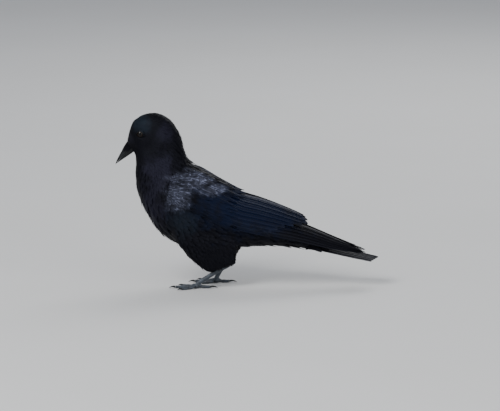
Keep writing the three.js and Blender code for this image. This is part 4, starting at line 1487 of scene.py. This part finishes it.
def between(tree, share, low, high):
    """A number that goes evenly from low to high as the share goes from 0 to 1."""
    return maths(tree, "MULTIPLY_ADD", share, high - low, low)


def ramp(tree, value, low, high, to_low=0.0, to_high=1.0):
    """A smooth step of a value from low to high."""
    inputs = {"Value": value, "From Min": low, "From Max": high}
    inputs |= {"To Min": to_low, "To Max": to_high}
    return add_node(tree, "MapRange", inputs, interpolation_type="SMOOTHSTEP").outputs["Result"]


def fade(tree, value, low, high):
    """1 up to low, 0 from high on."""
    return ramp(tree, value, low, high, 1.0, 0.0)


def blend_colour(tree, share, first, second):
    inputs = {0: share, 6: first, 7: second}
    return add_node(tree, "Mix", inputs, data_type="RGBA").outputs[2]


def noise(tree, place, scale, detail=3.0, roughness=0.55):
    inputs = {"Vector": place, "Scale": scale, "Detail": detail, "Roughness": roughness}
    return add_node(tree, "TexNoise", inputs).outputs["Fac"]


def new_group(name, inputs, outputs):
    """A node group with its named sockets. Returns it with its input and output nodes."""
    group = bpy.data.node_groups.new(name, "ShaderNodeTree")
    for socket, (kind, value) in inputs.items():
        made = group.interface.new_socket(socket, in_out="INPUT", socket_type="NodeSocket" + kind)
        if value is not None:
            made.default_value = value
    for socket, kind in outputs.items():
        group.interface.new_socket(socket, in_out="OUTPUT", socket_type="NodeSocket" + kind)
    return group, group.nodes.new("NodeGroupInput"), group.nodes.new("NodeGroupOutput")


def use_group(tree, group, inputs={}):
    """Places a group in a tree, with its own values, and returns its outputs."""
    return add_node(tree, "Group", inputs, node_tree=group).outputs


# %% [markdown]
# ### Tones and painted sheen of the plumage
#
# The tones are soft patches placed on the body as ellipsoids on both sides at once, and broken
# up by noise so that no edge is a line. Skin and feathers use the same group, so a patch runs on
# through both.

# %% Tones group
BLACK = (0.0032, 0.0030, 0.0042, 1)
# These gloss colours are painted sheen: the gloss of black feathers, painted into their colour.
PAINTED_SHEEN_BLUE = (0.0032, 0.0065, 0.020, 1)
PAINTED_SHEEN_TEAL = (0.0130, 0.0195, 0.028, 1)
PAINTED_SHEEN_VIOLET = (0.0125, 0.0120, 0.021, 1)
# A cool grey, for real wear at feather edges and for a painted highlight on the shoulder.
WORN_AND_HIGHLIGHT_GREY = (0.21, 0.23, 0.33, 1)
PAINTED_SHEEN_PATCHES = {  # centre, half sizes in mm, colour, strength; the side is taken from |y|
    "wing_blue": ((10, 30, 125), (120, 60, 45), PAINTED_SHEEN_BLUE, 1.0),
    "forehead": ((-162, 10, 257), (22, 24, 17), PAINTED_SHEEN_TEAL, 0.9),
    "ear": ((-126, 22, 244), (14, 20, 20), PAINTED_SHEEN_VIOLET, 0.8),
    "lore": ((-180, 12, 232), (10, 14, 10), PAINTED_SHEEN_VIOLET, 0.6),
    "neck_side": ((-136, 30, 186), (29, 30, 38), PAINTED_SHEEN_VIOLET, 0.95),
    "breast": ((-150, 28, 126), (26, 32, 46), PAINTED_SHEEN_VIOLET, 0.75),
    "flank": ((-97, 44, 104), (27, 28, 27), PAINTED_SHEEN_TEAL, 0.45),
}
# The pale grey patches on the shoulder, the scapulars and the streak are partly wear of old
# feathers and partly a painted highlight.
WORN_AND_HIGHLIGHT_PATCHES = {
    "shoulder": ((-106, 45, 146), (24, 30, 24)),
    "scapulars": ((-82, 34, 172), (40, 34, 15)),
    "streak": ((-52, 30, 156), (27, 34, 9)),
}
PATCH_NOISE = 60
PATCH_BREAK = 0.9
PATCH_BORDER = (0.30, 1.20)


def spot(tree, place, centre, half, unevenness):
    """1 inside an ellipsoid, 0 outside, with a broken border."""
    moved = vector_maths(tree, "SUBTRACT", place, [c * MM for c in centre])
    scaled = vector_maths(tree, "MULTIPLY", moved, [1 / (h * MM) for h in half])
    far = vector_maths(tree, "LENGTH", scaled)
    return fade(tree, maths(tree, "ADD", far, unevenness), *PATCH_BORDER)


def build_tones_and_sheen():
    group, _, out = new_group("plumage_tones_and_sheen", {}, {"Colour": "Color", "Worn And Highlight": "Float"})
    place = object_place(group)
    x, y, z = add_node(group, "SeparateXYZ", {0: place}).outputs
    both_sides = {0: x, 1: maths(group, "ABSOLUTE", y), 2: z}
    even_sided = add_node(group, "CombineXYZ", both_sides).outputs[0]
    cloud = noise(group, place, PATCH_NOISE, detail=4)
    unevenness = maths(group, "MULTIPLY", maths(group, "SUBTRACT", cloud, 0.5), PATCH_BREAK * 2)
    colour = BLACK
    # Painted sheen: each patch blends its gloss colour over the black.
    for centre, half, tint, strength in PAINTED_SHEEN_PATCHES.values():
        inside = spot(group, even_sided, centre, half, unevenness)
        colour = blend_colour(group, maths(group, "MULTIPLY", inside, strength), colour, tint)
    # Mask of the pale grey patches: partly wear, partly painted highlight.
    worn_and_highlight = 0.0
    for centre, half in WORN_AND_HIGHLIGHT_PATCHES.values():
        worn_and_highlight = maths(group, "MAXIMUM", worn_and_highlight, spot(group, even_sided, centre, half, unevenness))
    set_inputs(group, out, {"Colour": colour, "Worn And Highlight": worn_and_highlight})
    return group


tones_and_sheen = build_tones_and_sheen()
print("patches of tone:", len(PAINTED_SHEEN_PATCHES) + len(WORN_AND_HIGHLIGHT_PATCHES))

# %% [markdown]
# ### Barbs of a vane
#
# A vane is made of barbs that leave the shaft at a slant. The group draws them as fine ridges in
# the vane's own coordinates, and gives masks of the shaft and of the worn edge, where the hooks
# between the barbs have come undone.

# %% Barbs group
SWAY_SCALE, SWAY = 260, 1.3
CLUMP_SCALE = 900
RIDGE_SHARE, CLUMP_SHARE = 0.35, 0.8
FRAY = 0.35
WORN_RIM = (0.62, 1.0)  # from the middle of the vane to its edge
WORN_TIP = (0.84, 1.0)  # from root to tip
SHAFT_EDGE = (0.012, 0.03)


def build_barbs():
    group, given, out = new_group(
        "vane_barbs",
        {"Barbs": ("Float", 60.0), "Slant": ("Float", 12.0), "Shaft Place": ("Float", 0.5)},
        {"Height": "Float", "Edge": "Float", "Shaft": "Float"},
    )
    vane = add_node(group, "UVMap", uv_map="Vane").outputs["UV"]
    across, along, _ = add_node(group, "SeparateXYZ", {0: vane}).outputs
    aside = maths(group, "ABSOLUTE", maths(group, "SUBTRACT", across, given.outputs["Shaft Place"]))
    place = object_place(group)
    sway = maths(group, "MULTIPLY", noise(group, place, SWAY_SCALE, detail=2), SWAY)
    climb = maths(group, "MULTIPLY", along, given.outputs["Barbs"])
    slant = maths(group, "MULTIPLY", aside, given.outputs["Slant"])
    phase = maths(group, "ADD", maths(group, "SUBTRACT", climb, slant), sway)
    wave = maths(group, "SINE", maths(group, "MULTIPLY", phase, 2 * math.pi))
    clumps = noise(group, place, CLUMP_SCALE)
    tufts = maths(group, "MULTIPLY", clumps, CLUMP_SHARE)
    height = maths(group, "MULTIPLY_ADD", wave, RIDGE_SHARE, tufts)
    border = maths(group, "ABSOLUTE", between(group, across, -1.0, 1.0))
    fray = maths(group, "MULTIPLY", maths(group, "SUBTRACT", clumps, 0.5), FRAY)
    rim = ramp(group, maths(group, "ADD", border, fray), *WORN_RIM)
    tip = ramp(group, maths(group, "ADD", along, fray), *WORN_TIP)
    edge, shaft = maths(group, "MAXIMUM", rim, tip), fade(group, aside, *SHAFT_EDGE)
    set_inputs(group, out, {"Height": height, "Edge": edge, "Shaft": shaft})
    return group


barbs = build_barbs()
print("barbs group:", len(barbs.nodes), "nodes")

# %% [markdown]
# ### Grain of horn and scales
#
# Horn grows in streaks along a bill, and scales have a finer, even grain. One group makes both: a
# noise that can be turned and drawn out gives the streaks, a finer one is laid over it for the
# relief, and a broad one gives clouds, for what varies slowly.

# %% Grain group
FINE_SCALE, FINE_SHARE = 2600, 0.3
CLOUD_SCALE = 130


def build_grain():
    group, given, out = new_group(
        "horn_grain",
        {
            "Scale": ("Float", 600.0),
            "Stretch": ("Vector", (1, 1, 1)),
            "Turn": ("Vector", (0, 0, 0)),
        },
        {"Height": "Float", "Streak": "Float", "Cloud": "Float"},
    )
    place = object_place(group)
    turning = {"Vector": place, "Rotation": given.outputs["Turn"]}
    turned = add_node(group, "VectorRotate", turning, rotation_type="EULER_XYZ").outputs[0]
    drawn_out = vector_maths(group, "MULTIPLY", turned, given.outputs["Stretch"])
    streak = noise(group, drawn_out, given.outputs["Scale"], detail=4, roughness=0.6)
    fine = noise(group, place, FINE_SCALE, detail=2)
    height = maths(group, "MULTIPLY_ADD", fine, FINE_SHARE, streak)
    cloud = noise(group, place, CLOUD_SCALE)
    set_inputs(group, out, {"Height": height, "Streak": streak, "Cloud": cloud})
    return group


grain = build_grain()
print("grain group:", len(grain.nodes), "nodes")

# %% [markdown]
# ### The finishes
#
# Each material sets its own gloss. Feathers are half matt, with a cool specular tint that stands
# for the gloss of the barbs, and more matt where they are worn. Horn is a little smoother, and
# the eye is the one wet surface.

# %% Plumage materials
SHAFT_BLACK = (0.008, 0.008, 0.011, 1)
COOL_TINT = (0.72, 0.78, 1.0, 1)
MOTTLE_SCALE, MOTTLE_RANGE = 160, (0.35, 0.7)
WEAR_AND_HIGHLIGHT_TO_EDGE = (0.22, 1.02)
WEAR_AND_HIGHLIGHT_MOTTLED = (0.4, 1.1)
WORN_MATT, MOTTLE_MATT = 0.22, 0.06
BARB_BUMP = 0.6


def start_material(material, **constants):
    """A material with one Principled shader and its plain numbers."""
    material.use_nodes = True
    shader = material.node_tree.nodes["Principled BSDF"]
    for socket, value in constants.items():
        shader.inputs[socket.replace("_", " ")].default_value = value
    return material.node_tree, shader


def bump(tree, height, distance, strength):
    inputs = {"Height": height, "Distance": distance, "Strength": strength}
    return add_node(tree, "Bump", inputs).outputs["Normal"]


def finish_feathers(material, barb_inputs, gloss, worn_share, roughness, barb_depth):
    tree, shader = start_material(material, Specular_IOR_Level=gloss, Specular_Tint=COOL_TINT)
    # Base colour: black with the painted sheen patches of the tones group.
    tone_and_sheen = use_group(tree, tones_and_sheen)
    vane = use_group(tree, barbs, barb_inputs)
    mottle = ramp(tree, noise(tree, object_place(tree), MOTTLE_SCALE), *MOTTLE_RANGE)
    wear_and_highlight = maths(tree, "MULTIPLY", tone_and_sheen["Worn And Highlight"], between(tree, vane["Edge"], *WEAR_AND_HIGHLIGHT_TO_EDGE))
    wear_and_highlight = maths(tree, "MULTIPLY", wear_and_highlight, between(tree, mottle, *WEAR_AND_HIGHLIGHT_MOTTLED))
    edge = maths(tree, "MULTIPLY", vane["Edge"], worn_share)
    share = maths(tree, "MAXIMUM", wear_and_highlight, edge, clamp=True)
    # The grey is real wear at the vane edges, and on the shoulder patches partly a painted
    # highlight.
    colour = blend_colour(tree, share, tone_and_sheen["Colour"], WORN_AND_HIGHLIGHT_GREY)
    matt = maths(tree, "MULTIPLY_ADD", share, WORN_MATT, roughness)
    set_inputs(tree, shader, {
        "Base Color": blend_colour(tree, vane["Shaft"], colour, SHAFT_BLACK),
        "Roughness": maths(tree, "MULTIPLY_ADD", mottle, MOTTLE_MATT, matt),
        "Normal": bump(tree, vane["Height"], barb_depth, BARB_BUMP),
    })


finish_feathers(
    plumage, {"Barbs": 52.0, "Slant": 17.0},
    gloss=0.09, worn_share=0.02, roughness=0.5, barb_depth=0.04 * MM,
)
finish_feathers(
    flight_plumage, {"Barbs": 170.0, "Slant": 26.0, "Shaft Place": (1 + OUTER_SHAFT) / 2},
    gloss=0.11, worn_share=0.03, roughness=0.42, barb_depth=0.08 * MM,
)

# %% Skin and scales
SKIN_WORN_AND_HIGHLIGHT = 0.35
SKIN_MATT = (0.5, 0.7)
LEG_DARK = (0.020, 0.025, 0.033, 1)
# The pale leg colour is painted sheen: the sky reflected on black scales.
LEG_PAINTED_SHEEN = (0.070, 0.090, 0.115, 1)
LEG_CLOUDS = (0.3, 0.7)
SCALE_SEAM = (0.0, 0.12)
GAP_LEVEL = (1.0, 0.1)
SEAM_MATT = (0.55, 0.37)
SCALE_GRAIN = 0.4


def finish_skin(material):
    tree, shader = start_material(material, Specular_IOR_Level=0.15)
    # The skin takes the same painted sheen patches as the feathers.
    tone_and_sheen = use_group(tree, tones_and_sheen)
    grains = use_group(tree, grain, {"Scale": 900.0})
    # The skin also takes the shoulder grey, partly wear and partly painted highlight.
    worn_and_highlight = maths(tree, "MULTIPLY", tone_and_sheen["Worn And Highlight"], SKIN_WORN_AND_HIGHLIGHT)
    set_inputs(tree, shader, {
        "Base Color": blend_colour(tree, worn_and_highlight, tone_and_sheen["Colour"], WORN_AND_HIGHLIGHT_GREY),
        "Roughness": between(tree, grains["Cloud"], *SKIN_MATT),
        "Normal": bump(tree, grains["Height"], distance=0.15 * MM, strength=0.6),
    })


def finish_scales(material):
    """Seams are dark and low: those of the small scales, and the gaps between two scutes."""
    tree, shader = start_material(material, Specular_IOR_Level=0.5)
    grains = use_group(tree, grain, {"Scale": 500.0})
    cells = {"Vector": object_place(tree), "Scale": 900.0}
    to_edge = add_node(tree, "TexVoronoi", cells, feature="DISTANCE_TO_EDGE").outputs["Distance"]
    plated, gap = (
        add_node(tree, "Attribute", attribute_name=name).outputs["Fac"]
        for name in ("Plated", "Scute_Gap")
    )
    small_scales = maths(tree, "MAXIMUM", ramp(tree, to_edge, *SCALE_SEAM), plated)
    level = maths(tree, "MULTIPLY", small_scales, between(tree, gap, *GAP_LEVEL))
    # The pale blue-grey laid in clouds on the scales is painted sheen; the dark seams are the
    # scales' own.
    pale = maths(tree, "MULTIPLY", ramp(tree, grains["Cloud"], *LEG_CLOUDS), level)
    height = maths(tree, "MULTIPLY_ADD", grains["Height"], SCALE_GRAIN, level)
    set_inputs(tree, shader, {
        "Base Color": blend_colour(tree, pale, LEG_DARK, LEG_PAINTED_SHEEN),
        "Roughness": between(tree, level, *SEAM_MATT),
        "Normal": bump(tree, height, distance=0.12 * MM, strength=0.7),
    })


finish_skin(plumage_skin)
finish_scales(leg_scales)

# %% Horn and eyes
HORN_BLACK = (0.0045, 0.0052, 0.0062, 1)
HORN_GREY = (0.013, 0.016, 0.018, 1)
IRIS_BROWN = (0.011, 0.0055, 0.0034, 1)
IRIS_DARK = (0.005, 0.003, 0.0025, 1)
PUPIL = (0.0015, 0.0015, 0.0018, 1)
BILL_TURN = (0, math.radians(-44.3), 0)
STREAK_RANGE = (0.45, 0.75)
HORN_MATT = (0.3, 0.55)
IRIS_EDGE = (0.27, 0.33)  # distances from the middle of the eye, where 0.5 is its outline
PUPIL_EDGE = (0.175, 0.19)
EYE_DRIES, EYE_MATT = (0.3, 0.5), (0.04, 0.3)
FIBRE_SCALE = 1500


def finish_horn(material):
    tree, shader = start_material(material, Specular_IOR_Level=0.3)
    along_bill = {"Scale": 420.0, "Stretch": (0.12, 1.0, 1.0), "Turn": BILL_TURN}
    grains = use_group(tree, grain, along_bill)
    pale = ramp(tree, grains["Streak"], *STREAK_RANGE)
    set_inputs(tree, shader, {
        "Base Color": blend_colour(tree, pale, HORN_BLACK, HORN_GREY),
        "Roughness": between(tree, grains["Cloud"], *HORN_MATT),
        "Normal": bump(tree, grains["Height"], distance=0.10 * MM, strength=0.5),
    })


def finish_eye(material):
    tree, shader = start_material(
        material, Coat_Weight=0.6, Coat_Roughness=0.02, Coat_IOR=1.38, Specular_IOR_Level=0.0
    )
    iris = add_node(tree, "UVMap", uv_map="Iris").outputs["UV"]
    far = vector_maths(tree, "LENGTH", vector_maths(tree, "SUBTRACT", iris, (0.5, 0.5, 0)))
    fibres = noise(tree, object_place(tree), FIBRE_SCALE)
    colour = blend_colour(tree, fibres, IRIS_DARK, IRIS_BROWN)
    colour = blend_colour(tree, ramp(tree, far, *IRIS_EDGE), colour, IRIS_DARK)
    set_inputs(tree, shader, {
        "Base Color": blend_colour(tree, fade(tree, far, *PUPIL_EDGE), colour, PUPIL),
        "Roughness": ramp(tree, far, *EYE_DRIES, *EYE_MATT),
    })


eye_finish = bpy.data.materials.new("eye")
finish_horn(horn)
finish_eye(eye_finish)
for side, eye in eyes.items():
    eye.data.materials.append(eye_finish)
    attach(eye, "root")
    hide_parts("eye_" + side)
print("materials:", len(bpy.data.materials))

# %% [markdown]
# ## The floor
#
# A plain pale floor carries the crow's shadow, and its light comes back up to the belly.

# %% Floor
FLOOR_SIZE = 60
FLOOR_PALE = (0.68, 0.68, 0.66, 1)
FLOOR_PALER = (0.72, 0.72, 0.71, 1)
FLOOR_CLOUDS = 3

bpy.ops.object.select_all(action="DESELECT")
bpy.ops.mesh.primitive_plane_add(size=FLOOR_SIZE)
floor = bpy.context.object
floor.name = "floor"
floor_finish = bpy.data.materials.new("floor")
floor_tree, floor_shader = start_material(floor_finish, Roughness=0.8)
clouds = noise(floor_tree, object_place(floor_tree), FLOOR_CLOUDS)
floor_tone = blend_colour(floor_tree, clouds, FLOOR_PALE, FLOOR_PALER)
set_inputs(floor_tree, floor_shader, {"Base Color": floor_tone})
floor.data.materials.append(floor_finish)
floor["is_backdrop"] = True

# %% Size, and the end
shown_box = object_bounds()
for label, box in (("frame", cad_box), ("shown", shown_box)):
    print(label, "box in mm:", [[round(x / MM, 1) for x in corner] for corner in box])
